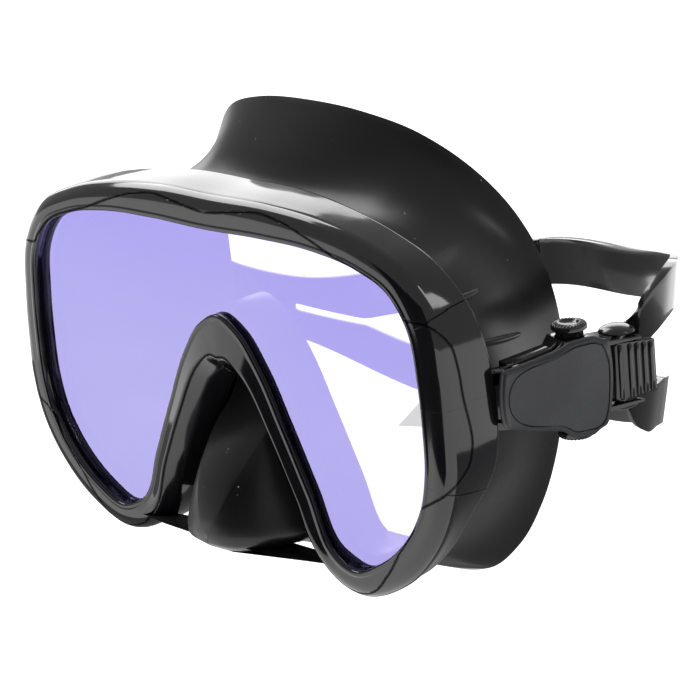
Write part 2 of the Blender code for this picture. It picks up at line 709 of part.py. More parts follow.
SPLIT = GAP / 10
ROW_END = len(STRAP_RIGHT) + len(STRAP_LEFT) + 2
ROOT_PIECES = [
    ("lens", make_lens(), "lens"),
    ("lens_retainer", ring_solid(retainer_section), "frame"),
    ("frame", make_frame(), "frame"),
    ("skirt", make_skirt(), "skirt"),
    ("strap_side_right", strap_piece(0, RIGHT_LENGTH - SPLIT, 9), "strap"),
    ("strap_back", strap_piece(RIGHT_LENGTH, ROW_END - LEFT_LENGTH, 24), "strap"),
    ("strap_side_left", strap_piece(ROW_END - LEFT_LENGTH + SPLIT, ROW_END, 6), "strap"),
]

for piece_name, piece_mesh, slot_name in ROOT_PIECES:
    piece_mesh.materials.clear()
    piece_mesh.materials.append(MATERIALS[slot_name])
    add_object(piece_name, piece_mesh, PARTS)

place_buckle(1, "right", MATERIALS)
place_buckle(-1, "left", MATERIALS)
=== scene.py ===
"""Looks for the diving mask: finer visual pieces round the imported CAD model, a white studio and the camera.

Shapes are in millimetres from the middle of the lens, as in the CAD, and become metres in at().
+X is the wearer's left, -Y the way the wearer looks, +Z up. "right" names the side at +X.
"""
import math
from contextlib import contextmanager

import bmesh
import bpy
import numpy as np
from mathutils import Matrix, Vector


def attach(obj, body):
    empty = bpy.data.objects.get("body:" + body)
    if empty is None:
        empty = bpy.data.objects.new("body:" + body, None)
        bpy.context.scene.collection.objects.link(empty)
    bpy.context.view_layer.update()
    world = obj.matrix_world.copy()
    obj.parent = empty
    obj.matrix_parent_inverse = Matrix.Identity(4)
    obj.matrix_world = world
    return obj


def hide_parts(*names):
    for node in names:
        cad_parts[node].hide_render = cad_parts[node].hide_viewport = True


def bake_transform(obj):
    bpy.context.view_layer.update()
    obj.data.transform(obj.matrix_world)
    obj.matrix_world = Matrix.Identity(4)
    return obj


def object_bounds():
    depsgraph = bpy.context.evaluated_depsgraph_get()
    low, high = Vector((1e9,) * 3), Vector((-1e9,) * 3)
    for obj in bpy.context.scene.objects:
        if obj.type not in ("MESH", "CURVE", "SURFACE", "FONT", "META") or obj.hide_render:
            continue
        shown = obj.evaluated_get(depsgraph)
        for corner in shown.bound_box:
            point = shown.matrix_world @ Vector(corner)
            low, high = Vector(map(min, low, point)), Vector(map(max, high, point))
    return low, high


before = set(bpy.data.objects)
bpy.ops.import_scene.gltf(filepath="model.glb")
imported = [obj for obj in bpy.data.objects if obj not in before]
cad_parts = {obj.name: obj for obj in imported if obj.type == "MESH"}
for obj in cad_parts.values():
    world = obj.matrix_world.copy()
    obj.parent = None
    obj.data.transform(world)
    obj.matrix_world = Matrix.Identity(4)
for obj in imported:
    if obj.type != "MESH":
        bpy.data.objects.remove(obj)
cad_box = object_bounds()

MM = 0.001
WELD = 0.01 * MM
SIDES = {"right": 1, "left": -1}
BODY = "mask"

# The origin is on the lens's front face at the bridge, BRIDGE_Z above the middle of the lens
BRIDGE_Z = 27.0

# Lens outline, on one side: lip x, lip z, outward direction in degrees, front width, side run, rear depth
STATIONS = [
    (0, 39.8, 90, 8.5, 1.0, 14.0),
    (20, 40.2, 90, 8.2, 1.0, 13.0),
    (39, 39.6, 86, 7.2, 0.8, 11.0),
    (54, 37.0, 76, 6.5, 0.6, 10.0),
    (64, 32.6, 56, 6.4, 0.8, 10.0),
    (69.3, 25.0, 22, 6.7, 1.4, 12.0),
    (71.5, 12.0, 5, 7.0, 1.9, 14.0),
    (72, 0.0, 0, 7.3, 2.0, 14.0),
    (71.6, -10.5, -8, 7.6, 1.5, 12.5),
    (69, -20.5, -26, 7.8, -1.2, 9.5),
    (63, -29.5, -48, 8.0, -2.0, 9.5),
    (53.5, -37.2, -62, 8.0, -1.5, 9.5),
    (44, -41.0, -88, 7.6, -0.8, 9.5),
    (36.2, -38.0, -145, 7.8, 0.5, 10.0),
    (29.2, -24.0, -158, 8.0, 0.8, 9.5),
    (21.6, -8.6, -156, 8.2, 0.8, 9.5),
    (14.0, 5.8, -146, 10.0, 1.0, 10.0),
    (7.2, 14.2, -122, 13.5, 1.5, 11.0),
    (0, 17.6, -90, 16.0, 1.5, 11.0),
]
RING_STEPS = 12
LIP_FRONT = -3.0
LENS_MARGIN = 2.3
LENS_THICK = 4.0
FLANGE_REAR = 8.5


# ------------------------------ helpers

def at(x, y, z):
    return Vector((x, y, z - BRIDGE_Z)) * MM


def smooth(rows, steps, span):
    """Rows on a smooth curve through all but the first and last, which only steer its ends."""
    rows = np.array(rows, float)
    gaps = np.linalg.norm(np.diff(rows[:, :span], axis=0), axis=1)
    slopes = []
    for i in range(1, len(rows) - 1):
        before = (rows[i] - rows[i - 1]) / gaps[i - 1]
        after = (rows[i + 1] - rows[i]) / gaps[i]
        slopes.append((before * gaps[i] + after * gaps[i - 1]) / (gaps[i] + gaps[i - 1]))
    points = []
    for i in range(1, len(rows) - 2):
        for step in range(steps):
            t = step / steps
            a, b = rows[i], rows[i + 1]
            slope_a, slope_b = slopes[i - 1] * gaps[i], slopes[i] * gaps[i]
            points.append((2 * t**3 - 3 * t**2 + 1) * a + (t**3 - 2 * t**2 + t) * slope_a
                          + (3 * t**2 - 2 * t**3) * b + (t**3 - t**2) * slope_b)
    points.append(rows[-2])
    return points


def filleted(corners, steps=4):
    """A polyline of (a, b, radius, parts) corners, rounded, with that many parts in the run after each."""
    rounded = []
    for i, (a, b, radius, parts) in enumerate(corners):
        here = np.array((a, b), float)
        if radius <= 0 or i in (0, len(corners) - 1):
            rounded.append(([here], parts))
            continue
        before = np.array(corners[i - 1][:2], float) - here
        after = np.array(corners[i + 1][:2], float) - here
        room = min(radius, 0.49 * np.linalg.norm(before), 0.49 * np.linalg.norm(after))
        start = here + before / np.linalg.norm(before) * room
        end = here + after / np.linalg.norm(after) * room
        arc = [(1 - t)**2 * start + 2 * (1 - t) * t * here + t**2 * end for t in np.linspace(0, 1, steps + 1)]
        rounded.append((arc, parts))
    points = []
    for (arc, parts), (after, _) in zip(rounded, rounded[1:] + rounded[:1]):
        points.extend(arc)
        points.extend(arc[-1] + (after[0] - arc[-1]) * k / parts for k in range(1, parts))
    return points


def grid_mesh(name, rings, wrap=True, close=False, skip=()):
    """Quads between rings of points, with UVs: u along a ring, v from ring to ring."""
    count = len(rings[0])
    faces, uvs = [], []
    across = count if wrap else count - 1
    along = len(rings) if close else len(rings) - 1
    for k in range(along):
        for i in range(across):
            if (k, i) in skip:
                continue
            low, high = k * count, (k + 1) % len(rings) * count
            faces.append((low + i, low + (i + 1) % count, high + (i + 1) % count, high + i))
            u, u_next, v, v_next = i / across, (i + 1) / across, k / along, (k + 1) / along
            uvs.extend(((u, v), (u_next, v), (u_next, v_next), (u, v_next)))
    mesh = bpy.data.meshes.new(name)
    mesh.from_pydata([tuple(point) for ring in rings for point in ring], [], faces)
    layer = mesh.uv_layers.new(name="UVMap")
    for loop, uv in zip(layer.data, uvs):
        loop.uv = uv
    return mesh


@contextmanager
def edited(mesh):
    """The mesh as a BMesh, whose changes go back into it."""
    bm = bmesh.new()
    bm.from_mesh(mesh)
    yield bm
    bm.to_mesh(mesh)
    bm.free()


def show(name, mesh, material):
    """A new object for a finished mesh, with outward faces and smooth shading."""
    with edited(mesh) as bm:
        bmesh.ops.recalc_face_normals(bm, faces=bm.faces)
    mesh.shade_smooth()
    obj = bpy.data.objects.new(name, mesh)
    bpy.context.scene.collection.objects.link(obj)
    mesh.materials.clear()
    mesh.materials.append(material)
    return obj


def configured(thing, settings):
    for key, value in settings.items():
        setattr(thing, key, value)
    return thing


def modify(obj, kind, **settings):
    configured(obj.modifiers.new(kind.title(), kind), settings)


def evaluated(obj):
    """The object's mesh as its modifiers or its curve make it."""
    graph = bpy.context.evaluated_depsgraph_get()
    return bpy.data.meshes.new_from_object(obj.evaluated_get(graph))


def applied(obj, sharp=None):
    """The object with its modifiers applied to its mesh."""
    mesh = evaluated(obj)
    obj.modifiers.clear()
    obj.data = mesh
    mesh.shade_smooth()
    if sharp:
        mesh.set_sharp_from_angle(angle=math.radians(sharp))
    return obj


def capped(mesh):
    """The mesh with its open ends closed."""
    with edited(mesh) as bm:
        bmesh.ops.holes_fill(bm, edges=bm.edges, sides=0)
    return mesh


def joined(name, meshes):
    bm = bmesh.new()
    for mesh in meshes:
        bm.from_mesh(mesh)
    result = bpy.data.meshes.new(name)
    bm.to_mesh(result)
    bm.free()
    return result


def curve_mesh(name, dimensions, loops, cyclic=False, **settings):
    """The mesh of a poly curve through loops of (x, y, z, radius) points, with those curve settings."""
    curve = configured(bpy.data.curves.new(name, "CURVE"), {"dimensions": dimensions, **settings})
    for points in loops:
        spline = curve.splines.new("POLY")
        spline.points.add(len(points) - 1)
        for spot, (*place, radius) in zip(spline.points, points):
            spot.co = (*(Vector(place) * MM), 1)
            spot.radius = radius
        spline.use_cyclic_u = cyclic
    holder = bpy.data.objects.new(name, curve)
    bpy.context.scene.collection.objects.link(holder)
    mesh = evaluated(holder)
    bpy.data.objects.remove(holder, do_unlink=True)
    return mesh


def set_attribute(mesh, name, values):
    attribute = mesh.attributes.new(name, "FLOAT", "POINT")
    attribute.data.foreach_set("value", np.array(values, np.float32))


# ------------------------------ materials

def material(name, colour, roughness, metallic=0.0):
    """A Principled material; returns it with its node tree and shader."""
    made = bpy.data.materials.new(name)
    made.use_nodes = True
    shader = made.node_tree.nodes["Principled BSDF"]
    shader.inputs["Base Color"].default_value = (*colour, 1.0)
    shader.inputs["Roughness"].default_value = roughness
    shader.inputs["Metallic"].default_value = metallic
    return made, made.node_tree, shader


def add_node(tree, kind, inputs=None, **settings):
    node = configured(tree.nodes.new(kind), settings)
    for key, value in (inputs or {}).items():
        if isinstance(value, bpy.types.NodeSocket):
            tree.links.new(value, node.inputs[key])
        else:
            node.inputs[key].default_value = value
    return node


def feed(tree, shader, **values):
    """Links each value to the shader's socket of that name."""
    for name, value in values.items():
        tree.links.new(value, shader.inputs[name.replace("_", " ").title()])


def noise(tree, scale, detail=3.0, rough=0.5):
    place = add_node(tree, "ShaderNodeTexCoord")
    return add_node(tree, "ShaderNodeTexNoise", {"Vector": place.outputs["Object"], "Scale": scale,
                                                "Detail": detail, "Roughness": rough}).outputs["Fac"]


def ramp(tree, value, low, high, at_low=0.0, at_high=1.0):
    """value's range from low to high turned smoothly into at_low to at_high."""
    node = add_node(tree, "ShaderNodeMapRange", {0: value, 1: low, 2: high, 3: at_low, 4: at_high})
    node.interpolation_type = "SMOOTHSTEP"
    return node.outputs[0]


def blend_colour(tree, factor, first, second):
    node = add_node(tree, "ShaderNodeMix", data_type="RGBA")
    tree.links.new(factor, node.inputs[0])
    for socket, colour in ((node.inputs[6], first), (node.inputs[7], second)):
        if isinstance(colour, bpy.types.NodeSocket):
            tree.links.new(colour, socket)
        else:
            socket.default_value = (*colour, 1.0)
    return node.outputs[2]


def lighter(colour, share):
    return tuple(channel * share for channel in colour)


def bump(tree, height, strength, distance, normal=None):
    inputs = {"Height": height, "Strength": strength, "Distance": distance}
    if normal:
        inputs["Normal"] = normal
    return add_node(tree, "ShaderNodeBump", inputs).outputs[0]


def line_mask(tree, name, half_width):
    """1 on the line where the named mesh attribute, a signed distance in millimetres, is 0."""
    distance = add_node(tree, "ShaderNodeAttribute", attribute_name=name).outputs["Fac"]
    size = add_node(tree, "ShaderNodeMath", {0: distance}, operation="ABSOLUTE").outputs[0]
    return ramp(tree, size, half_width * 0.5, half_width, 1.0, 0.0)


def gloss_black(name, colour=(0.004, 0.004, 0.005), roughness=0.09, lines=False):
    """Polished injection-moulded plastic: faint waviness, soft wipe marks and, on the frame, its seams, dented
    by a bump and darkened with painted shade.
    """
    made, tree, shader = material(name, colour, roughness)
    wipe = noise(tree, 55, 6, 0.65)
    rough = ramp(tree, wipe, 0.35, 0.75, roughness * 0.75, roughness * 1.7)
    tint = blend_colour(tree, ramp(tree, noise(tree, 18, 2), 0.3, 0.7), colour, lighter(colour, 1.6))
    normal = bump(tree, noise(tree, 130, 2), 0.05, 0.0002)
    normal = bump(tree, noise(tree, 2600, 2), 0.03, 0.00002, normal)
    if lines:
        seam, hair = line_mask(tree, "seam", 0.42), line_mask(tree, "hairline", 0.26)
        groove_and_shade = add_node(tree, "ShaderNodeMath", {0: seam, 1: hair}, operation="MAXIMUM").outputs[0]
        # Painted shade: the base colour goes almost black along the seams and hairlines, where the grooves would
        # be in shade.
        tint = blend_colour(tree, groove_and_shade, tint, (0.001, 0.001, 0.001))
        depth = add_node(tree, "ShaderNodeMath", {0: groove_and_shade, 1: -1.0}, operation="MULTIPLY").outputs[0]
        normal = bump(tree, depth, 1.0, 0.0004, normal)
    feed(tree, shader, roughness=rough, base_color=tint, normal=normal)
    shader.inputs["IOR"].default_value = 1.49
    shader.inputs["Coat Weight"].default_value = 0.25
    shader.inputs["Coat Roughness"].default_value = 0.04
    return made


def silicone(name, colour, roughness, specks=0.0, coat=0.0):
    """Moulded silicone: a soft skin that picks up lint, with slow changes of sheen."""
    made, tree, shader = material(name, colour, roughness)
    patch = noise(tree, 24, 3)
    rough = ramp(tree, patch, 0.3, 0.7, roughness * 0.82, roughness * 1.18)
    tint = blend_colour(tree, ramp(tree, patch, 0.35, 0.65), colour, lighter(colour, 1.35))
    if specks:
        place = add_node(tree, "ShaderNodeTexCoord").outputs["Object"]
        cells = add_node(tree, "ShaderNodeTexVoronoi", {"Vector": place, "Scale": 420.0})
        dust = ramp(tree, cells.outputs["Distance"], 0.05, 0.11, 1.0, 0.0)
        keep = ramp(tree, noise(tree, 160, 2), 0.60, 0.66)
        fleck = add_node(tree, "ShaderNodeMath", {0: dust, 1: keep}, operation="MULTIPLY").outputs[0]
        fleck = add_node(tree, "ShaderNodeMath", {0: fleck, 1: specks}, operation="MULTIPLY").outputs[0]
        tint = blend_colour(tree, fleck, tint, (0.35, 0.35, 0.36))
    normal = bump(tree, noise(tree, 90, 3), 0.06, 0.0004)
    normal = bump(tree, noise(tree, 3200, 2, 0.6), 0.10, 0.00003, normal)
    feed(tree, shader, roughness=rough, base_color=tint, normal=normal)
    shader.inputs["IOR"].default_value = 1.42
    shader.inputs["Coat Weight"].default_value = coat
    shader.inputs["Coat Roughness"].default_value = 0.08
    shader.inputs["Sheen Weight"].default_value = 0.03
    shader.inputs["Sheen Roughness"].default_value = 0.4
    return made


def matte_plastic(name, colour, roughness, grain):
    """Spark-textured plastic: a fine even grain, slightly polished where fingers rub."""
    made, tree, shader = material(name, colour, roughness)
    rub = noise(tree, 70, 4)
    rough = ramp(tree, rub, 0.3, 0.75, roughness * 1.1, roughness * 0.8)
    tint = blend_colour(tree, ramp(tree, rub, 0.3, 0.7), colour, lighter(colour, 1.25))
    fine = noise(tree, 5200, 2, 0.7)
    tint = blend_colour(tree, ramp(tree, fine, 0.35, 0.65), tint, lighter(colour, 0.72))
    feed(tree, shader, roughness=rough, base_color=tint, normal=bump(tree, fine, grain, 0.00006))
    shader.inputs["IOR"].default_value = 1.49
    return made


def violet_glass():
    """Mirror-coated glass: the coating throws violet back and lets about half the light through."""
    made, tree, shader = material("lens_violet_coating", (0.50, 0.45, 1.0), 0.015, 1.0)
    drift = ramp(tree, noise(tree, 9, 1), 0.3, 0.7)
    tint = blend_colour(tree, drift, (0.47, 0.42, 1.0), (0.55, 0.51, 1.0))
    smear = ramp(tree, noise(tree, 40, 4), 0.3, 0.8, 0.01, 0.04)
    feed(tree, shader, base_color=tint, roughness=smear)
    shader.inputs["Alpha"].default_value = 0.55
    return made


def clear_glass():
    """The pane's edges and back: a faint violet body colour and almost no cover."""
    made, tree, shader = material("lens_clear_back", (0.30, 0.27, 0.55), 0.02)
    feed(tree, shader, roughness=ramp(tree, noise(tree, 40, 4), 0.3, 0.8, 0.01, 0.05))
    shader.inputs["Alpha"].default_value = 0.05
    return made


def joint_shade():
    """Painted shade for the inside of an open joint, where almost no light comes back out."""
    made, tree, shader = material("joint_shadow", (0.0012, 0.0012, 0.0013), 0.9)
    feed(tree, shader, roughness=ramp(tree, noise(tree, 500, 2), 0.3, 0.7, 0.8, 1.0))
    shader.inputs["Specular IOR Level"].default_value = 0.05
    return made


def steel(name):
    made, tree, shader = material(name, (0.55, 0.55, 0.57), 0.22, 1.0)
    feed(tree, shader, roughness=ramp(tree, noise(tree, 900, 3), 0.3, 0.7, 0.16, 0.34),
         normal=bump(tree, noise(tree, 1500, 2), 0.1, 0.00002))
    return made


FRAME_BLACK = gloss_black("frame_black", lines=True)
BUCKLE_BLACK = gloss_black("buckle_black", (0.008, 0.008, 0.009), 0.14)
SKIRT = silicone("skirt_silicone", (0.005, 0.005, 0.0055), 0.34, 0.8)
STRAP = silicone("strap_silicone", (0.005, 0.005, 0.006), 0.17, 0.3, 0.6)
COVER = matte_plastic("cover_charcoal", (0.028, 0.029, 0.032), 0.42, 0.35)
PAD = matte_plastic("pad_charcoal", (0.032, 0.033, 0.036), 0.50, 0.55)
GLASS = violet_glass()
CLEAR = clear_glass()
STEEL = steel("steel")
# Painted shade laid into the housing's open joints.
JOINT_SHADE = joint_shade()


# ------------------------------ lens and housing

def fine_stations(steps):
    first, last = STATIONS[1], STATIONS[-2]
    before = (-first[0], first[1], 180 - first[2], *first[3:])
    after = (-last[0], last[1], -180 - last[2], *last[3:])
    return smooth([before, *STATIONS, after], steps, 2)


def around(half):
    """A closed ring from its right half, which starts and ends on the plane of symmetry."""
    return half + [Vector((-p.x, p.y, p.z)) for p in half[-2:0:-1]]


def outward(station, distance, y):
    angle = math.radians(station[2])
    return at(station[0] + distance * math.cos(angle), y, station[1] + distance * math.sin(angle))


def ease(value, low, high):
    t = min(max((value - low) / (high - low), 0), 1)
    return t * t * (3 - 2 * t)


# Lines in the housing's skin, as (station place, millimetres outward from the lip along the surface)
SEAM = [(0, 4.6), (0.55, 5.6), (1.0, 6.4), (1.4, 5.4), (2.0, 2.6), (2.45, 0.9), (3.4, 0.4), (4.5, 0.4),
        (4.8, 1.2), (5.02, 5.5), (5.4, 10.6), (5.75, 11.8), (6.3, 12.2), (7.45, 13.6), (7.75, 12.6),
        (8.3, 6.6), (8.6, 3.0), (8.85, 0.6), (9.6, 0.4), (10.3, 0.8), (10.9, 3.2), (11.4, 5.2), (11.9, 6.2),
        (12.4, 6.2), (12.9, 5.2), (13.5, 5.0), (15, 5.2), (16, 6.2), (17, 8.4), (17.6, 10.2), (18, 10.8)]
HAIRLINES = [
    [(5.02, 5.5), (4.9, 13.0), (4.8, 24.0)],
    [(8.3, 6.6), (8.38, 14.0), (8.45, 24.0)],
    [(17.1, 12.4), (18, 13.4)],
    [(17.3, 14.0), (18, 14.8)],
    [(17.5, 15.6), (18, 16.2)],
]
SEAM_GAP = 0.34
HAIR_GAP = 0.24
# The section's point that counts as the lip, and the size of a place against a millimetre
LIP_POINT = 6
PLACE_SIZE = 12.0
# Places over which the section turns into that of the notch's legs and of the arch above the nose
LEG_PLACES = (12.4, 13.6)
CROWN_PLACES = (16.0, 17.4)
WALL = 1.6


def housing_section(station, place):
    """The housing's cross-section as (outward, y) points, from the lip round the outside to the seat."""
    width, run, depth = station[3:]
    leg = ease(place, *LEG_PLACES)
    crown = ease(place, *CROWN_PLACES)
    lip_y = LIP_FRONT + leg * 0.9
    ridge = (width - 2.6) * (1 - leg) + width * (0.58 + 0.12 * crown) * leg
    ridge_y = LIP_FRONT + 0.35 - 0.35 * leg
    side_y = -0.5 + leg * 1.6
    soft = 3.2 - leg * 2.5
    corners = [(0.0, -0.15, 0, 1), (0.0, lip_y + 0.45, 0.4, 1), (0.45, lip_y, 0.4, 1), (1.25, lip_y, 0.25, 1),
               (1.55, lip_y + 0.22, 0.2, 10), (ridge, ridge_y, soft, 4), (width, side_y, soft, 7),
               (width + run * 0.8, depth * 0.55, 4.0, 7), (width + run, depth, 0.9, 1),
               (width + run - 1.5, depth, 0.4, 1), (width + min(run, 0.0) - WALL, FLANGE_REAR, 0.6, 1),
               (0.3, FLANGE_REAR, 0, 1), (0.3, LENS_THICK + 0.2, 0, 1),
               (LENS_MARGIN + 0.2, LENS_THICK + 0.2, 0, 1), (LENS_MARGIN + 0.2, -0.15, 0, 1)]
    return filleted(corners)


def signed_distance(points, places, reaches, line, spot_at):
    """Millimetres from each point to a line in the skin, negative on its near side."""
    place, reach = np.array(line).T
    crossing = np.ptp(reach) > np.ptp(place) * PLACE_SIZE
    path = np.array([spot_at(p, r) for p, r in zip(place, reach)])
    step = np.diff(path, axis=0)
    share = ((points[:, None] - path[:-1]) * step).sum(2) / np.maximum((step**2).sum(1), 1e-18)
    near = path[:-1] + step * np.clip(share, 0, 1)[..., None]
    size = np.linalg.norm(points[:, None] - near, axis=2).min(1) / MM
    if crossing:
        beyond = places > np.interp(reaches, reach, place)
    else:
        beyond = reaches > np.interp(places, place, reach)
    return np.where(beyond, size, -size)


def make_housing():
    """Frame and retainer as one skin, which keeps its distance to each moulded line on its points."""
    stations = fine_stations(RING_STEPS)
    places = np.arange(len(stations)) / RING_STEPS
    sections = np.array([housing_section(station, place) for station, place in zip(stations, places)])
    runs = np.linalg.norm(np.diff(sections, axis=1), axis=2)
    reach = np.concatenate([np.zeros((len(stations), 1)), np.cumsum(runs, axis=1)], axis=1)
    reach -= reach[:, LIP_POINT:LIP_POINT + 1]
    count = sections.shape[1]
    halves = [[outward(station, *section[j]) for station, section in zip(stations, sections)]
              for j in range(count)]
    mesh = grid_mesh("housing", [around(half) for half in halves], close=True)

    def spot_at(place, distance):
        k = min(int(place * RING_STEPS), len(stations) - 2)
        ends = []
        for j in (k, k + 1):
            spot = [np.interp(distance, reach[j], sections[j, :, axis]) for axis in (0, 1)]
            ends.append(np.array(outward(stations[j], *spot)))
        return ends[0] + (ends[1] - ends[0]) * min(max(place * RING_STEPS - k, 0), 1)

    points = np.array([point for half in halves for point in half])
    all_places, all_reaches = np.tile(places, count), reach.T.ravel()
    seam_path = [tuple(row) for row in smooth([(-0.55, 5.6), *SEAM, (18.4, 10.4)], 8, 1)]
    seam = signed_distance(points, all_places, all_reaches, seam_path, spot_at)
    hair = np.full(len(points), 99.0)
    for line in HAIRLINES:
        distance = signed_distance(points, all_places, all_reaches, line, spot_at)
        hair = np.where(abs(distance) < abs(hair), distance, hair)
    for name, values in (("seam", seam), ("hairline", hair)):
        half_values = values.reshape(count, -1)
        set_attribute(mesh, name, np.concatenate([half_values, half_values[:, -2:0:-1]], axis=1).ravel())
    housing = show("mask_housing", mesh, FRAME_BLACK)
    gaps = [([spot_at(*spot) for spot in seam_path], SEAM_GAP)]
    for line in HAIRLINES:
        place, distance = np.array(line).T
        along = np.linspace(0, len(line) - 1, 12 * len(line))
        corners = range(len(line))
        spots = zip(np.interp(along, corners, place), np.interp(along, corners, distance))
        gaps.append(([spot_at(*spot) for spot in spots], HAIR_GAP))
    return housing, make_gaps(housing, gaps)


def make_gaps(housing, lines):
    """The open joint along each line: a dark thread of painted shade let into the housing's surface, on both
    sides.
    """
    threads = []
    for side in SIDES.values():
        for points, width in lines:
            points = [Vector(point) * Vector((side, 1, 1)) for point in points]
            rings = []
            for i, point in enumerate(points):
                along = points[min(i + 1, len(points) - 1)] - points[max(i - 1, 0)]
                _, spot, normal, _ = housing.closest_point_on_mesh(point)
                across = along.cross(normal).normalized()
                size = width * (0.35 if i in (0, len(points) - 1) else 1.0) / 2 * MM
                rings.append([spot + across * size * a + normal * b * MM
                              for a, b in ((-1, 0.0), (-0.6, 0.035), (0.6, 0.035), (1, 0.0), (0, -0.1))])
            threads.append(grid_mesh("thread", rings))
    return show("housing_joints", joined("housing_joints", threads), JOINT_SHADE)


def make_pane():
    """The glass: a coated front face, clear edges and back."""
    stations = fine_stations(RING_STEPS)
    profile = [(LENS_MARGIN - 0.2, 0.0), (LENS_MARGIN, 0.2), (LENS_MARGIN, LENS_THICK - 0.2),
               (LENS_MARGIN - 0.2, LENS_THICK)]
    rings = [around([outward(station, r, y) for station in stations]) for r, y in profile]
    mesh = grid_mesh("lens_pane", rings)
    count = len(rings[0])
    with edited(mesh) as bm:
        bm.verts.ensure_lookup_table()
        bm.faces.new([bm.verts[i] for i in range(count)])
        bm.faces.new([bm.verts[3 * count + i] for i in reversed(range(count))])
    pane = show("lens_pane", mesh, GLASS)
    mesh.materials.append(CLEAR)
    for face in mesh.polygons:
        face.material_index = 0 if face.normal.y < -0.9 else 1
    mesh.set_sharp_from_angle(angle=math.radians(30))
    return pane


# ------------------------------ skirt

SKIRT_WALL = 1.6
BEAD_Y = 5.25
BEAD_MARGIN = 2.0
SKIRT_INSET = -0.8
WALL_START = 10.0
WALL_RUN = 22.0
SEAL_RUN = 18.0
WALL_RINGS = 7
WALL_STEPS = 4
# Face seal, one row for each station: x, y, z, flare of the edge from straight back in degrees
SEAL_EDGE = [
    (0, 36.0, 64.5, 60), (19, 37.5, 63.0, 60), (34.5, 41.0, 58.5, 55), (45.5, 46.0, 50.5, 45),
    (53.5, 50.5, 40.5, 30), (58.5, 54.0, 29.0, 12), (61, 56.5, 15.5, 0), (61.5, 57.5, 2.0, -5),
    (60.5, 57.0, -12.0, -5), (58.5, 55.5, -25.0, 0), (54.5, 53.5, -38.0, 10), (49, 50.5, -49.0, 20),
    (42.5, 47.0, -55.5, 20), (35.5, 44.5, -57.0, 10), (29, 42.0, -56.0, 0), (22, 39.0, -54.0, 0),
    (15, 36.0, -52.0, 0), (7.5, 34.0, -50.5, 0), (0, 33.0, -50.0, 0),
]
# The height from which the seal's edge flares outward
FACE_Z = 10.0
NOSE_FROM = 12
NOSE_TO = 18
POCKET_CROWDING = 1.2
POCKET_BACK = 14.5
POCKET_EDGE = 0.62
POCKET_BLUNT = 2.6
POCKET_TOP = (7.0, 13.4)
POCKET_SPREAD = 0.59
POCKET_RIDGE = [(13.4, 13.5), (-3.0, 12.5), (-9.0, 3.0), (-19.0, -5.0), (-30.0, -9.5), (-39.5, -11.0)]
POCKET_BOTTOM = -39.5
POCKET_FLOOR = (24.0, 8.0, -43.5)
# Short ribs that stiffen the skirt behind the temples: first and last point, radius
SKIRT_RIBS = [((76, 8.3, 30.4), (67.5, 25.5, 27.8), 1.0), ((75, 18.8, 16.1), (67.5, 39.5, 12.5), 1.0)]


def bend(start, first, second, end, t):
    return (1 - t)**3 * start + 3 * (1 - t)**2 * t * first + 3 * (1 - t) * t**2 * second + t**3 * end


def wall_point(station, seal, t):
    """A point on the skirt's plain wall, from the lens at t = 0 to the face seal at t = 1."""
    start = outward(station, SKIRT_INSET, WALL_START)
    end = at(*seal[:3])
    flare = math.radians(seal[3])
    side = Vector((seal[0], 0, seal[2] - FACE_Z)).normalized()
    arrive = Vector((0, math.cos(flare), 0)) + side * math.sin(flare)
    return bend(start, start + Vector((0, WALL_RUN * MM, 0)), end - arrive * SEAL_RUN * MM, end, t)


def pocket_point(station, seal, share, k):
    """A point on the nose pocket; share is 0 in the middle and 1 at the notch's lower corner."""
    if k == WALL_RINGS:
        return at(*seal[:3])
    if k == WALL_RINGS - 1:
        half, y, z = POCKET_FLOOR
        return at(half * share, y + 12 * share**2, z)
    part = k / (WALL_RINGS - 2)
    start_z = station[1]
    across = 1 + (share - 1) * part**0.8
    z = start_z + (POCKET_BOTTOM + 3 * across**2 - start_z) * part
    half = POCKET_TOP[0] + (POCKET_TOP[1] - z) * POCKET_SPREAD
    if start_z > POCKET_TOP[1]:
        half = max(half, station[0] + 0.5)
    heights, depths = zip(*reversed(POCKET_RIDGE))
    ridge = float(np.interp(z, heights, depths))
    y = ridge + (POCKET_BACK - ridge) * min(across / POCKET_EDGE, 1)**POCKET_BLUNT
    return at(half * across, y, z)


def skirt_column(station, seal, place):
    """Points from the lens bead to the face seal at one station place."""
    nose = min(max(place - NOSE_FROM, 0), 1)
    coarse = []
    for k in range(WALL_RINGS + 1):
        point = wall_point(station, seal, k / WALL_RINGS)
        if nose:
            share = ((NOSE_TO - place) / (NOSE_TO - NOSE_FROM))**POCKET_CROWDING
            pocket = outward(station, SKIRT_INSET, POCKET_BACK)
            if k:
                pocket = pocket_point(station, seal, share, k)
            point = point.lerp(pocket, nose)
        coarse.append(point)
    ends = (coarse[0] * 2 - coarse[1], coarse[-1] * 2 - coarse[-2])
    fine = [Vector(point) for point in smooth([ends[0], *coarse, ends[1]], WALL_STEPS, 3)]
    bead = [outward(station, r, BEAD_Y) for r in (BEAD_MARGIN, 0.6, SKIRT_INSET)]
    return bead + [bead[-1].lerp(fine[0], 0.5)] + fine


def make_skirt():
    """The skirt's wall, nose pocket and face seal as one sheet, thickened and with a rounded edge."""
    stations = fine_stations(RING_STEPS)
    first, last = SEAL_EDGE[1], SEAL_EDGE[-2]
    seals = smooth([(-first[0], *first[1:]), *SEAL_EDGE, (-last[0], *last[1:])], RING_STEPS, 3)
    columns = [skirt_column(station, seal, i / RING_STEPS)
               for i, (station, seal) in enumerate(zip(stations, seals))]
    mesh = grid_mesh("skirt", [around(list(ring)) for ring in zip(*columns)])
    skirt = show("face_skirt", mesh, SKIRT)
    modify(skirt, "SOLIDIFY", thickness=SKIRT_WALL * MM, offset=0.0, use_even_offset=True)
    modify(skirt, "BEVEL", width=0.5 * MM, segments=3, limit_method="ANGLE", angle_limit=math.radians(60))
    return applied(skirt)


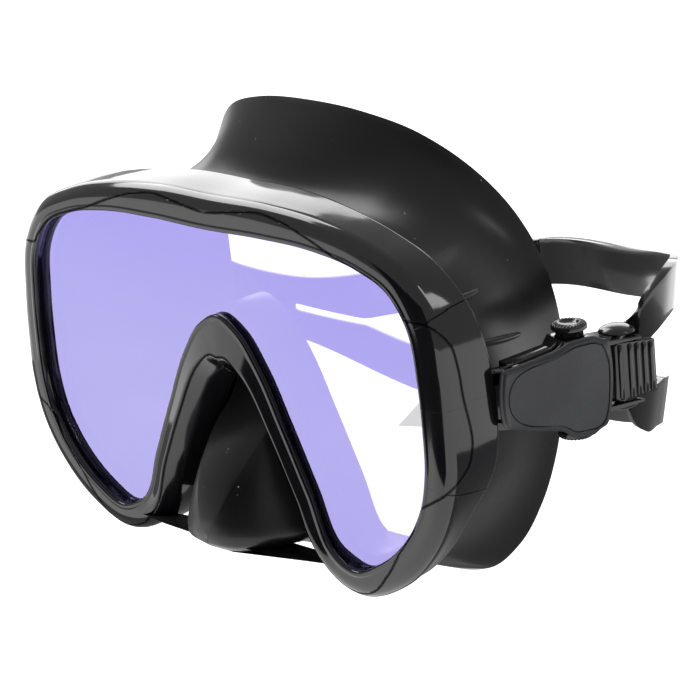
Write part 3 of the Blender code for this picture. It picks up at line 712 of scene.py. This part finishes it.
def make_skirt_ribs(skirt):
    """The short ribs, laid along the skirt's outer surface and sunk into it."""
    ribs = []
    for side in SIDES.values():
        for first, last, radius in SKIRT_RIBS:
            rings = []
            for t in np.linspace(0, 1, 17):
                aim = at(*first).lerp(at(*last), float(t))
                aim.x *= side
                _, spot, normal, _ = skirt.closest_point_on_mesh(aim)
                along = (at(*last) - at(*first)) * Vector((side, 1, 1))
                across = along.cross(normal).normalized()
                size = radius * (0.05 + 0.95 * math.sin(math.pi * (0.04 + 0.92 * t))**0.35) * MM
                rings.append([spot + across * math.cos(a) * size + normal * math.sin(a) * size
                              for a in np.linspace(0, 2 * math.pi, 12, endpoint=False)])
            ribs.append(grid_mesh("rib", rings))
    return show("skirt_ribs", joined("skirt_ribs", ribs), SKIRT)


# ------------------------------ buckle

# In a buckle's own frame: n outward, s rearward from the hinge, z up from the buckle's middle
HINGE_X = 80.0
HINGE_Y = 16.6
BUCKLE_Z = 4.3
BUCKLE_FLARE = 16.0
BARREL_R = 2.8
PIN_HOLE_R = 1.3
KNUCKLES = [(4.5, 7.2), (-7.2, -4.5)]
ARM_FRONT = 10.5
ARM_OUT = 0.8
COVER_OUT = 5.2
COVER_LOW = 3.4
# Closed outlines as (s, z, corner radius), from the middle of the rear edge
COVER_OUTLINE = [(28.8, 2.0, 0), (28.7, -0.4, 2), (28.0, -6.6, 3), (26.6, -11.4, 1.6), (24.4, -12.0, 1),
                 (22.6, -13.2, 1), (16.7, -12.8, 1.2), (14.4, -10.4, 1.4), (4.2, -7.9, 6), (-2.2, -5.8, 1.3),
                 (-2.8, -1.5, 3), (-2.6, 3.5, 3), (-1.8, 8.0, 1.0), (5.5, 8.8, 4), (14.0, 10.0, 1.6),
                 (17.6, 11.5, 1.2), (24.0, 11.6, 1.0), (26.0, 10.4, 1), (28.2, 9.8, 1.2), (28.8, 4.6, 3)]
PAD_OUTLINE = [(27.4, 2.0, 0), (27.3, -0.4, 2), (26.7, -6.4, 3), (25.3, -10.2, 1.4), (23.2, -11.4, 1.2),
               (17.2, -11.2, 1.2), (14.4, -9.2, 1.6), (4.5, -6.8, 5), (1.2, -5.0, 3), (-0.6, -2.4, 3),
               (-1.0, 0.8, 3), (-0.4, 3.8, 3), (1.6, 6.3, 3), (5.0, 7.6, 5), (13.9, 8.8, 3), (17.9, 10.2, 2),
               (23.6, 10.2, 1.6), (26.2, 9.0, 1.6), (27.4, 4.5, 3)]
OUTLINE_MIDDLE = 14.0
OUTLINE_COUNT = 240
RAIL_PATH = [(-0.6, 5.8), (1.0, 7.0), (8.0, 8.0), (14.6, 8.9), (15.9, 9.6), (16.6, 10.8)]
# The rails along the cover's edge: place on n, radius; the radius at their ends is a share of it
RAILS = [(1.7, 0.5), (-0.6, 0.42)]
RAIL_END = 0.3
BUTTON_N = -1.6
BUTTON_S = 20.8
BUTTON_TEETH = 26
# From the button's crown to its stem: radius, height, depth of the serration there
BUTTON_SKIN = [(0.05, 13.75, 0), (1.1, 13.8, 0), (1.9, 13.98, 0), (2.35, 14.3, 0), (2.6, 14.5, 0),
               (2.75, 14.54, 0.06), (3.0, 14.5, 0.2), (3.5, 14.42, 0.24), (3.9, 14.3, 0.22),
               (4.12, 14.16, 0.1), (4.3, 13.9, 0), (4.4, 13.6, 0), (4.4, 12.9, 0), (4.3, 12.8, 0),
               (3.45, 12.8, 0), (3.4, 12.7, 0), (3.4, 4.7, 0), (3.3, 4.6, 0), (0.05, 4.6, 0)]
ROLLER_N = -2.6
ROLLER_S = 34.5
CAP_SKIN = [(0.05, 10.8), (1.3, 10.74), (2.5, 10.5), (3.5, 10.12), (4.15, 9.66), (4.45, 9.25), (4.5, 9.05),
            (4.35, 8.85), (4.1, 8.8), (1.25, 8.8)]
SOFT_EDGE = 0.22


def buckle_place(side):
    """World matrix of one buckle's own frame; the left buckle mirrors the right one."""
    hinge = at(side * HINGE_X, HINGE_Y, BUCKLE_Z)
    turn = Matrix.Rotation(-side * math.radians(BUCKLE_FLARE), 4, "Z")
    return Matrix.Translation(hinge) @ turn @ Matrix.Diagonal((side, 1, 1, 1))


def on_buckle(name, side_name, mesh, finish, body, slot, *nodes):
    """A copy of a buckle piece in its place, riding its body and standing for its CAD nodes."""
    side = SIDES[side_name]
    mesh = mesh.copy()
    mesh.transform(buckle_place(side))
    piece = show(f"{name}_{side_name}", mesh, finish)
    mesh.set_sharp_from_angle(angle=math.radians(40))
    mount(piece, f"{body}_{side_name}", slot, *(f"{node}_{side_name}" for node in nodes))


def polar(corners):
    """Radii of a rounded closed outline at OUTLINE_COUNT equal angles from its middle."""
    closed = [(*corner, 1) for corner in (*corners, corners[0])]
    outline = np.array(filleted(closed, 6))[:-1] - (OUTLINE_MIDDLE, 0)
    angles = np.arctan2(outline[:, 1], outline[:, 0]) % (2 * math.pi)
    order = np.argsort(angles)
    angles, outline = angles[order], outline[order]
    radii = []
    for angle in np.arange(OUTLINE_COUNT) * 2 * math.pi / OUTLINE_COUNT:
        after = int(np.searchsorted(angles, angle, "right")) % len(angles)
        a, b = outline[after - 1], outline[after]
        ray = np.array((math.cos(angle), math.sin(angle)))
        cross = ray[0] * (b - a)[1] - ray[1] * (b - a)[0]
        radii.append((a[0] * (b - a)[1] - a[1] * (b - a)[0]) / cross if abs(cross) > 1e-9 else np.hypot(*a))
    return np.array(radii)


def polar_solid(name, rings):
    """A closed solid from (radii, n) rings, the first and last of which close to a point."""
    angles = np.arange(OUTLINE_COUNT) * 2 * math.pi / OUTLINE_COUNT
    layers = []
    for radii, n in rings:
        layers.append([Vector((n, OUTLINE_MIDDLE + r * math.cos(a), r * math.sin(a))) * MM
                       for r, a in zip(radii * np.ones(OUTLINE_COUNT), angles)])
    return capped(grid_mesh(name, layers))


def make_cover():
    """The cover: soft edges, a stepped rim and the recess its inlay lies in."""
    rim, pad = polar(COVER_OUTLINE), polar(PAD_OUTLINE)
    top = COVER_OUT
    rings = [(0.1, COVER_LOW), (rim - 0.4, COVER_LOW), (rim - 0.05, COVER_LOW + 0.15), (rim, COVER_LOW + 0.4),
             (rim, COVER_LOW + 0.8), (rim - 0.12, COVER_LOW + 0.92), (rim - 0.5, COVER_LOW + 0.98),
             (rim - 0.62, COVER_LOW + 1.1), (rim - 0.66, top - 0.5), (rim - 0.78, top - 0.22),
             (rim - 1.05, top - 0.06), (rim - 1.4, top)]
    rings += [((rim - 1.4) * (1 - t) + (pad + 0.12) * t, top + 0.12 * math.sin(math.pi * t))
              for t in (0.3, 0.6, 0.9)]
    rings += [(pad + 0.1, top), (pad, top - 0.1), (pad, top - 0.7), (0.1, top - 0.72)]
    return polar_solid("cover", rings)


def make_inlay():
    """The inlay: a slightly domed plate that fills the cover's recess."""
    pad = polar(PAD_OUTLINE) - 0.2
    top = COVER_OUT - 0.02
    rings = [(0.1, COVER_OUT - 0.66), (pad, COVER_OUT - 0.66), (pad, COVER_OUT - 0.14), (pad - 0.12, top)]
    rings += [(pad * (1 - t), top + 0.16 * math.sin(t * math.pi / 2)) for t in (0.1, 0.3, 0.6, 0.9, 0.99)]
    return polar_solid("inlay", rings)


def turned(name, skin, count=48):
    """A solid turned about z, with serrations where its (radius, height, tooth depth) points ask for them."""
    rings = []
    for radius, height, tooth in [(*row, 0)[:3] for row in skin]:
        ring = []
        for i in range(count):
            angle = 2 * math.pi * i / count
            lift = tooth * (abs(math.sin(angle * BUTTON_TEETH / 2)) - 0.6)
            ring.append(Vector((radius * math.cos(angle), radius * math.sin(angle), height + lift)) * MM)
        rings.append(ring)
    return capped(grid_mesh(name, rings))


def tube(name, points, radius):
    """A round bar through the points, which thins to its ends."""
    thin = (0, len(points) - 1)
    path = [(*point, RAIL_END if i in thin else 1.0) for i, point in enumerate(points)]
    return curve_mesh(name, "3D", [path], bevel_depth=radius * MM, bevel_resolution=3, use_fill_caps=True)


def softened(node):
    """A copy of a CAD node's mesh with its flat faces whole again and its edges rounded, in world space."""
    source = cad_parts[node]
    bm = bmesh.new()
    bm.from_mesh(source.data)
    bm.transform(source.matrix_world)
    bmesh.ops.remove_doubles(bm, verts=bm.verts, dist=WELD)
    bmesh.ops.dissolve_limit(bm, angle_limit=math.radians(2), verts=bm.verts, edges=bm.edges)
    mesh = bpy.data.meshes.new(node + "_soft")
    bm.to_mesh(mesh)
    bm.free()
    holder = show(node + "_soft", mesh, BUCKLE_BLACK)
    modify(holder, "BEVEL", width=SOFT_EDGE * MM, segments=2, limit_method="ANGLE", angle_limit=math.radians(35),
           harden_normals=True)
    return holder


def make_knuckles(side):
    """The frame's two hinge arms of one side: rounded plates with a hole for the pin."""
    plates = []
    turn = np.linspace(math.pi / 2, -math.pi / 2, 13)
    outline = [(-BARREL_R + 0.2, ARM_FRONT - HINGE_Y), (-BARREL_R + 0.1, 0)]
    outline += [(-BARREL_R * math.sin(a), BARREL_R * math.cos(a)) for a in turn]
    outline += [(ARM_OUT, -2.3), (-0.4, ARM_FRONT - HINGE_Y)]
    hole = [(PIN_HOLE_R * math.cos(a), PIN_HOLE_R * math.sin(a))
            for a in np.linspace(0, 2 * math.pi, 32, endpoint=False)]
    loops = [[(side * x, y, 0, 1.0) for x, y in ring] for ring in (outline, hole)]
    for low, high in KNUCKLES:
        half = (high - low) / 2 * MM
        mesh = curve_mesh("knuckle", "2D", loops, cyclic=True, fill_mode="BOTH", extrude=half)
        mesh.transform(Matrix.Translation(at(side * HINGE_X, HINGE_Y, BUCKLE_Z + (low + high) / 2)))
        with edited(mesh) as bm:
            bmesh.ops.remove_doubles(bm, verts=bm.verts, dist=WELD)
        plates.append(mesh)
    piece = show("hinge_arms", joined("hinge_arms", plates), FRAME_BLACK)
    modify(piece, "BEVEL", width=0.35 * MM, segments=3, limit_method="ANGLE", angle_limit=math.radians(40),
           harden_normals=True)
    return applied(piece, sharp=40)


# ------------------------------ strap

STRAP_THICK = 2.2
NECK_HALF = 7.3
TIP_HALF = 6.5
TIP_RUN = 7.5
TIP_BOW_R = 60.0
NECK_RUN = 4.0
NECK_BOW_R = 40.0
ROLLER_R = 2.9
ROLLER_GAP = 0.3
# From the roller's axis to the middle of the strap's thickness
WRAP_REACH = ROLLER_R + ROLLER_GAP + STRAP_THICK / 2
BAND = 13.0
SPLIT_LIP = 1.0
# The bands bow outward from the middle of the head and lean out towards their tops
HEAD_Y = 20.0
BAND_CROWN = 0.5
LEAN = 0.0025
# From each neck to the middle of the back: distance out, y, top z, bottom z
STRAP_RIGHT = [(84.8, 59.5, 19.0, -12.0), (84.8, 65.0, 23.5, -17.5), (82.5, 71.5, 25.0, -18.5),
               (77.0, 79.5, 24.0, -21.0), (66.0, 90.0, 20.5, -26.0), (40.0, 106.0, 14.0, -35.0)]
STRAP_LEFT = [(85.5, 63.0, 8.5, -7.5), (80.0, 77.5, -1.0, -16.0), (67.5, 89.5, -6.0, -25.0),
              (40.0, 106.0, -3.0, -40.0)]
STRAP_BACK = (0.0, 117.0, 8.0, -41.0)
# The split between the bands, in row places along the strap, and the run over which it opens
SLOT_ENDS = (0.3, 9.2)
SLOT_RAMP = 0.5
ROW_STEPS = 16
BAND_COLUMNS = 7
RIB_FIRST = 6.3
RIB_PITCH = 2.05
RIB_COUNT = 7
RIB_WIDTH = 1.25
RIB_HEIGHT = 1.0
RIB_SINK = 0.25
# Along a rib, as shares: place from its middle, thickness
RIB_SKIN = [(-1.0, 0.35), (-0.97, 0.8), (-0.91, 1.0), (-0.5, 1.0), (0, 1.0), (0.5, 1.0), (0.91, 1.0),
            (0.97, 0.8), (1.0, 0.35)]


def bow(run, radius):
    return run**2 / (2 * radius)


def from_buckle(n, s):
    """Plan position of a point of the right buckle."""
    flare = math.radians(BUCKLE_FLARE)
    x = HINGE_X + n * math.cos(flare) + s * math.sin(flare)
    return x, HINGE_Y - n * math.sin(flare) + s * math.cos(flare)


def tip_half(run):
    return NECK_HALF + (TIP_HALF - NECK_HALF) * max(run, 0.0) / TIP_RUN


def wrap_path(run, lift=0.0):
    """A point of the outer run or, before 0, of the turn: (n, s), lifted off the middle of the strap."""
    if run >= 0:
        return ROLLER_N + WRAP_REACH - bow(run, TIP_BOW_R) + lift, ROLLER_S + run
    a = -run / WRAP_REACH
    return ROLLER_N + (WRAP_REACH + lift) * math.cos(a), ROLLER_S - (WRAP_REACH + lift) * math.sin(a)


def inner_path(run):
    """A point of the inner run, behind the turn: (n, s)."""
    return ROLLER_N - WRAP_REACH - bow(run, NECK_BOW_R), ROLLER_S + run


def neck_row(n, s, half=NECK_HALF):
    return (*from_buckle(n, s), BUCKLE_Z + half, BUCKLE_Z - half)


def wrap_rows():
    """The free outer tip, the turn round the roller's front and the inner run, on the right buckle."""
    tip = np.linspace(TIP_RUN, 0, 12, endpoint=False)
    turn = np.linspace(0, -math.pi * WRAP_REACH, 22, endpoint=False)
    rows = [neck_row(*wrap_path(run), tip_half(run)) for run in (*tip, *turn)]
    return rows + [neck_row(*inner_path(run)) for run in np.linspace(0, NECK_RUN, 6)]


def strap_rows():
    """Rows of x, y, top z and bottom z along the strap from the right neck to the left neck."""
    ends = [neck_row(*inner_path(run)) for run in (0.0, NECK_RUN + 0.6)]
    left = [(-x, y, top, low) for x, y, top, low in [*ends, *STRAP_LEFT]]
    return [*ends, *STRAP_RIGHT, STRAP_BACK, *reversed(left)]


def strap_ring(x, y, top, low, place):
    """Points up one crossing of the strap, where two bands part as far as the split is open there."""
    half = (top - low) / 2
    band = min(BAND, half - SPLIT_LIP)
    opening = min(max(min(place - SLOT_ENDS[0], SLOT_ENDS[1] - place) / SLOT_RAMP, 0), 1)
    opening = math.sin(opening * math.pi / 2)
    slot = SPLIT_LIP + (half - band - SPLIT_LIP) * opening
    heights = [slot + (half - slot) * i / BAND_COLUMNS for i in range(BAND_COLUMNS + 1)]
    out = Vector((x, y - HEAD_Y, 0)).normalized()
    ring = []
    for h in [-h for h in reversed(heights)] + heights:
        crown = BAND_CROWN * opening * (1 - (h / half)**2)
        lean = 1 + LEAN * opening * h
        ring.append(at(x * lean + out.x * crown, y + out.y * crown, (top + low) / 2 + h))
    return ring


def make_strap(side_name):
    """Half the strap: ribbed free tip, turn round the roller, neck, and its two bands to the back."""
    fine = smooth(strap_rows(), ROW_STEPS, 2)
    places = [i / ROW_STEPS for i in range(len(fine))]
    middle = min(range(len(fine)), key=lambda i: abs(fine[i][0]))
    if side_name == "left":
        fine, places = fine[::-1], places[::-1]
        middle = len(fine) - 1 - middle
    side = SIDES[side_name]
    wrap = [(side * x, y, top, low) for x, y, top, low in wrap_rows()]
    rows = [(row, -1.0) for row in wrap] + list(zip(fine, places))[:middle + 1]
    rings = [strap_ring(*row, place) for row, place in rows]
    skip = set()
    for k in range(len(rows) - 1):
        before, after = sorted((rows[k][1], rows[k + 1][1]))
        if SLOT_ENDS[0] <= before and after <= SLOT_ENDS[1]:
            skip.add((k, BAND_COLUMNS))
    strap = show(f"strap_{side_name}", grid_mesh("strap", rings, wrap=False, skip=skip), STRAP)
    modify(strap, "SOLIDIFY", thickness=STRAP_THICK * MM, offset=0.0, use_even_offset=True)
    modify(strap, "BEVEL", width=0.55 * MM, segments=3, limit_method="ANGLE", angle_limit=math.radians(50))
    strap = applied(strap)
    ribs = [make_rib(side, i) for i in range(RIB_COUNT)]
    whole = joined(strap.name, [strap.data, *ribs])
    whole.materials.append(STRAP)
    whole.shade_smooth()
    strap.data = whole
    return strap


def squared(share):
    """A sine or cosine pushed towards 1 or -1, which turns a circle into a rounded square."""
    return abs(share)**0.6 * math.copysign(1, share)


def make_rib(side, i):
    """One grip rib across the outer run or the turn: a bar sunk a little into the strap."""
    run = RIB_FIRST - i * RIB_PITCH
    n, s = wrap_path(run, STRAP_THICK / 2 - RIB_SINK)
    turn = max(-run, 0.0) / WRAP_REACH
    reach = tip_half(run) - 0.3
    rings = []
    for z, size in RIB_SKIN:
        ring = []
        for a in np.linspace(0, 2 * math.pi, 16, endpoint=False):
            up = squared(math.cos(a)) * RIB_HEIGHT * size
            aside = squared(math.sin(a)) * RIB_WIDTH / 2 * size
            ring.append(Vector((n + up * math.cos(turn) + aside * math.sin(turn),
                                s - up * math.sin(turn) + aside * math.cos(turn), z * reach)) * MM)
        rings.append(ring)
    mesh = grid_mesh("rib", rings)
    mesh.transform(buckle_place(side))
    return mesh


# ------------------------------ assembly

def mount(piece, body, slot, *nodes):
    """The piece rides a body and stands for its CAD nodes, which are hidden; slot is not used."""
    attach(piece, body)
    if nodes:
        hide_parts(*nodes)


def dress(node, finish):
    """A CAD piece that keeps its own mesh gets a finished material."""
    for material_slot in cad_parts[node].material_slots:
        material_slot.material = finish


def assemble_mask():
    housing, joints = make_housing()
    mount(housing, BODY, "frame", "frame", "lens_retainer")
    mount(joints, BODY, "frame")
    for side_name, side in SIDES.items():
        arms = make_knuckles(side)
        arms.name = f"hinge_arms_{side_name}"
        mount(arms, BODY, "frame")
    mount(make_pane(), BODY, "lens", "lens")
    skirt = make_skirt()
    mount(skirt, BODY, "skirt", "skirt")
    mount(make_skirt_ribs(skirt), BODY, "skirt")


def assemble_buckle(side_name):
    on_buckle("buckle_cover_shell", side_name, COVER_MESH, COVER, "buckle", "cover", "buckle_cover")
    on_buckle("cover_inlay", side_name, INLAY_MESH, PAD, "buckle", "pad", "cover_pad")
    on_buckle("buckle_rails", side_name, RAILS_MESH, BUCKLE_BLACK, "buckle", "buckle")
    on_buckle("upper_button", side_name, BUTTON_MESH, BUCKLE_BLACK, "upper_button", "buckle", "button_top")
    lower = upside_down(BUTTON_MESH)
    on_buckle("lower_button", side_name, lower, BUCKLE_BLACK, "lower_button", "buckle", "button_bottom")
    on_buckle("roller_axle", side_name, AXLE_MESH, BUCKLE_BLACK, "buckle", "buckle", "roller_pin")
    tray = applied(softened(f"buckle_body_{side_name}"), sharp=40)
    tray.name = f"buckle_tray_{side_name}"
    mount(tray, f"buckle_{side_name}", "buckle", f"buckle_body_{side_name}")
    for node in ("hinge_pin", "button_spring", "pawl_pin"):
        dress(f"{node}_{side_name}", STEEL)
    for node in ("strap_pawl", "strap_roller"):
        dress(f"{node}_{side_name}", BUCKLE_BLACK)


def assemble_strap(side_name):
    """The strap runs from its buckle, where it is threaded, to the back of the mask, and the CAD strap pieces
    are hidden.
    """
    strap = make_strap(side_name)
    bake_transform(strap)
    nodes = [f"strap_tail_{side_name}", f"strap_side_{side_name}"]
    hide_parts(*(nodes + ["strap_back"] * (side_name == "right")))


def moved(mesh, *spot):
    mesh.transform(Matrix.Translation(Vector(spot) * MM))
    return mesh


def upside_down(mesh):
    other = mesh.copy()
    other.transform(Matrix.Diagonal((1, 1, -1, 1)))
    return other


def both_ends(mesh):
    return joined(mesh.name, [mesh, upside_down(mesh)])


COVER_MESH = make_cover()
INLAY_MESH = make_inlay()
RAIL_TUBES = [tube("rail", [(n, s, z) for s, z in RAIL_PATH], radius) for n, radius in RAILS]
RAILS_MESH = both_ends(joined("rails", RAIL_TUBES))
BUTTON_MESH = moved(turned("button", BUTTON_SKIN, BUTTON_TEETH * 8), BUTTON_N, BUTTON_S, 0)
SHAFT_SKIN = CAP_SKIN + [(1.25, 0.0), (0.05, 0.0)]
AXLE_MESH = moved(both_ends(turned("axle", SHAFT_SKIN)), ROLLER_N, ROLLER_S, 0)

assemble_mask()
for name in SIDES:
    assemble_buckle(name)
    assemble_strap(name)


# ------------------------------ studio and camera

FLOOR_SIZE = 8.0
FLOOR_GAP = 0.0002
FLOOR_GLOW = 1.5
SKY_STRENGTH = 0.45
# Softboxes: place in metres, width, height, radiance
SOFTBOXES = [((-0.85, 0.10, 0.85), 0.75, 0.55, 6.0), ((-0.66, 0.66, 0.36), 1.1, 0.5, 2.8),
             ((0.9, 0.55, 0.9), 0.14, 0.5, 5.0)]
# Cards that only reflections see. Each is a fan round the mask: sweep in degrees from the front towards
# the right, glow, and its section as distance and height above the floor
CARDS = [
    ((-28.0, 54.0), 0.0, [(0.13, 0.001), (0.4, 0.001), (0.8, 0.001), (1.1, 0.001), (1.15, 0.05), (1.15, 0.4),
                          (1.15, 0.8)]),
    ((96.0, 285.0), 0.25, [(0.02, 0.001), (0.12, 0.001), (0.24, 0.001)]),
]
CARD_STEPS = 33
VIEW_FROM = (0.61967, -0.52482, 0.22615)
VIEW_AZIMUTH, VIEW_ELEVATION, VIEW_ROLL = 47.52, 17.0, -4.97
FOCAL_LENGTH = 173.71


def make_floor():
    made, tree, shader = material("studio_light_table", (0.05, 0.05, 0.05), 0.8)
    fibre = noise(tree, 30, 4)
    tint = blend_colour(tree, ramp(tree, fibre, 0.3, 0.7), (0.985, 0.985, 0.985), (1.0, 1.0, 1.0))
    feed(tree, shader, emission_color=tint)
    shader.inputs["Emission Strength"].default_value = FLOOR_GLOW
    mesh = bpy.data.meshes.new("floor")
    bm = bmesh.new()
    bmesh.ops.create_grid(bm, x_segments=8, y_segments=8, size=0.5)
    bm.transform(Matrix.Translation((0, 0, cad_box[0][2] - FLOOR_GAP)) @ Matrix.Scale(FLOOR_SIZE, 4))
    bm.to_mesh(mesh)
    bm.free()
    mesh.materials.append(made)
    floor = bpy.data.objects.new("floor", mesh)
    bpy.context.scene.collection.objects.link(floor)


def make_card(index, sweep, glow, path):
    made, tree, shader = material(f"dark_card_{index}", (0.002, 0.002, 0.002), 1.0)
    shader.inputs["Specular IOR Level"].default_value = 0.0
    shader.inputs["Emission Color"].default_value = (1.0, 1.0, 1.0, 1.0)
    shader.inputs["Emission Strength"].default_value = glow
    turn = [math.radians(a) for a in np.linspace(*sweep, CARD_STEPS)]
    rows = [[Vector((reach * math.sin(a), -reach * math.cos(a), cad_box[0][2] + height)) for a in turn]
            for reach, height in path]
    card = show(made.name, grid_mesh(made.name, rows, wrap=False), made)
    card.visible_camera = False
    card.visible_diffuse = False
    card.visible_shadow = False
    card.visible_transmission = False


def make_lights():
    world = bpy.data.worlds.new("studio")
    world.use_nodes = True
    sky = world.node_tree.nodes["Background"]
    sky.inputs["Color"].default_value = (1.0, 1.0, 1.0, 1.0)
    sky.inputs["Strength"].default_value = SKY_STRENGTH
    bpy.context.scene.world = world
    for i, (place, width, height, radiance) in enumerate(SOFTBOXES):
        lamp = bpy.data.lights.new(f"softbox_{i}", "AREA")
        lamp.shape = "RECTANGLE"
        lamp.size, lamp.size_y = width, height
        lamp.energy = radiance * math.pi * width * height
        obj = bpy.data.objects.new(lamp.name, lamp)
        obj.location = place
        obj.rotation_euler = Vector(place).to_track_quat("Z", "Y").to_euler()
        bpy.context.scene.collection.objects.link(obj)


def make_camera():
    a, e, r = (math.radians(v) for v in (VIEW_AZIMUTH, VIEW_ELEVATION, VIEW_ROLL))
    back = Vector((math.sin(a) * math.cos(e), -math.cos(a) * math.cos(e), math.sin(e)))
    level = Vector((math.cos(a), math.sin(a), 0))
    upright = back.cross(level)
    right = level * math.cos(r) + upright * math.sin(r)
    up = upright * math.cos(r) - level * math.sin(r)
    data = bpy.data.cameras.new("camera")
    data.sensor_width = 36.0
    data.lens = FOCAL_LENGTH
    camera = bpy.data.objects.new("camera", data)
    turn = Matrix((right, up, back)).transposed().to_4x4()
    camera.matrix_world = Matrix.Translation(VIEW_FROM) @ turn
    bpy.context.scene.collection.objects.link(camera)
    bpy.context.scene.camera = camera


make_floor()
for i, card in enumerate(CARDS):
    make_card(i, *card)
make_lights()
make_camera()
bpy.context.scene.view_settings.view_transform = "Standard"
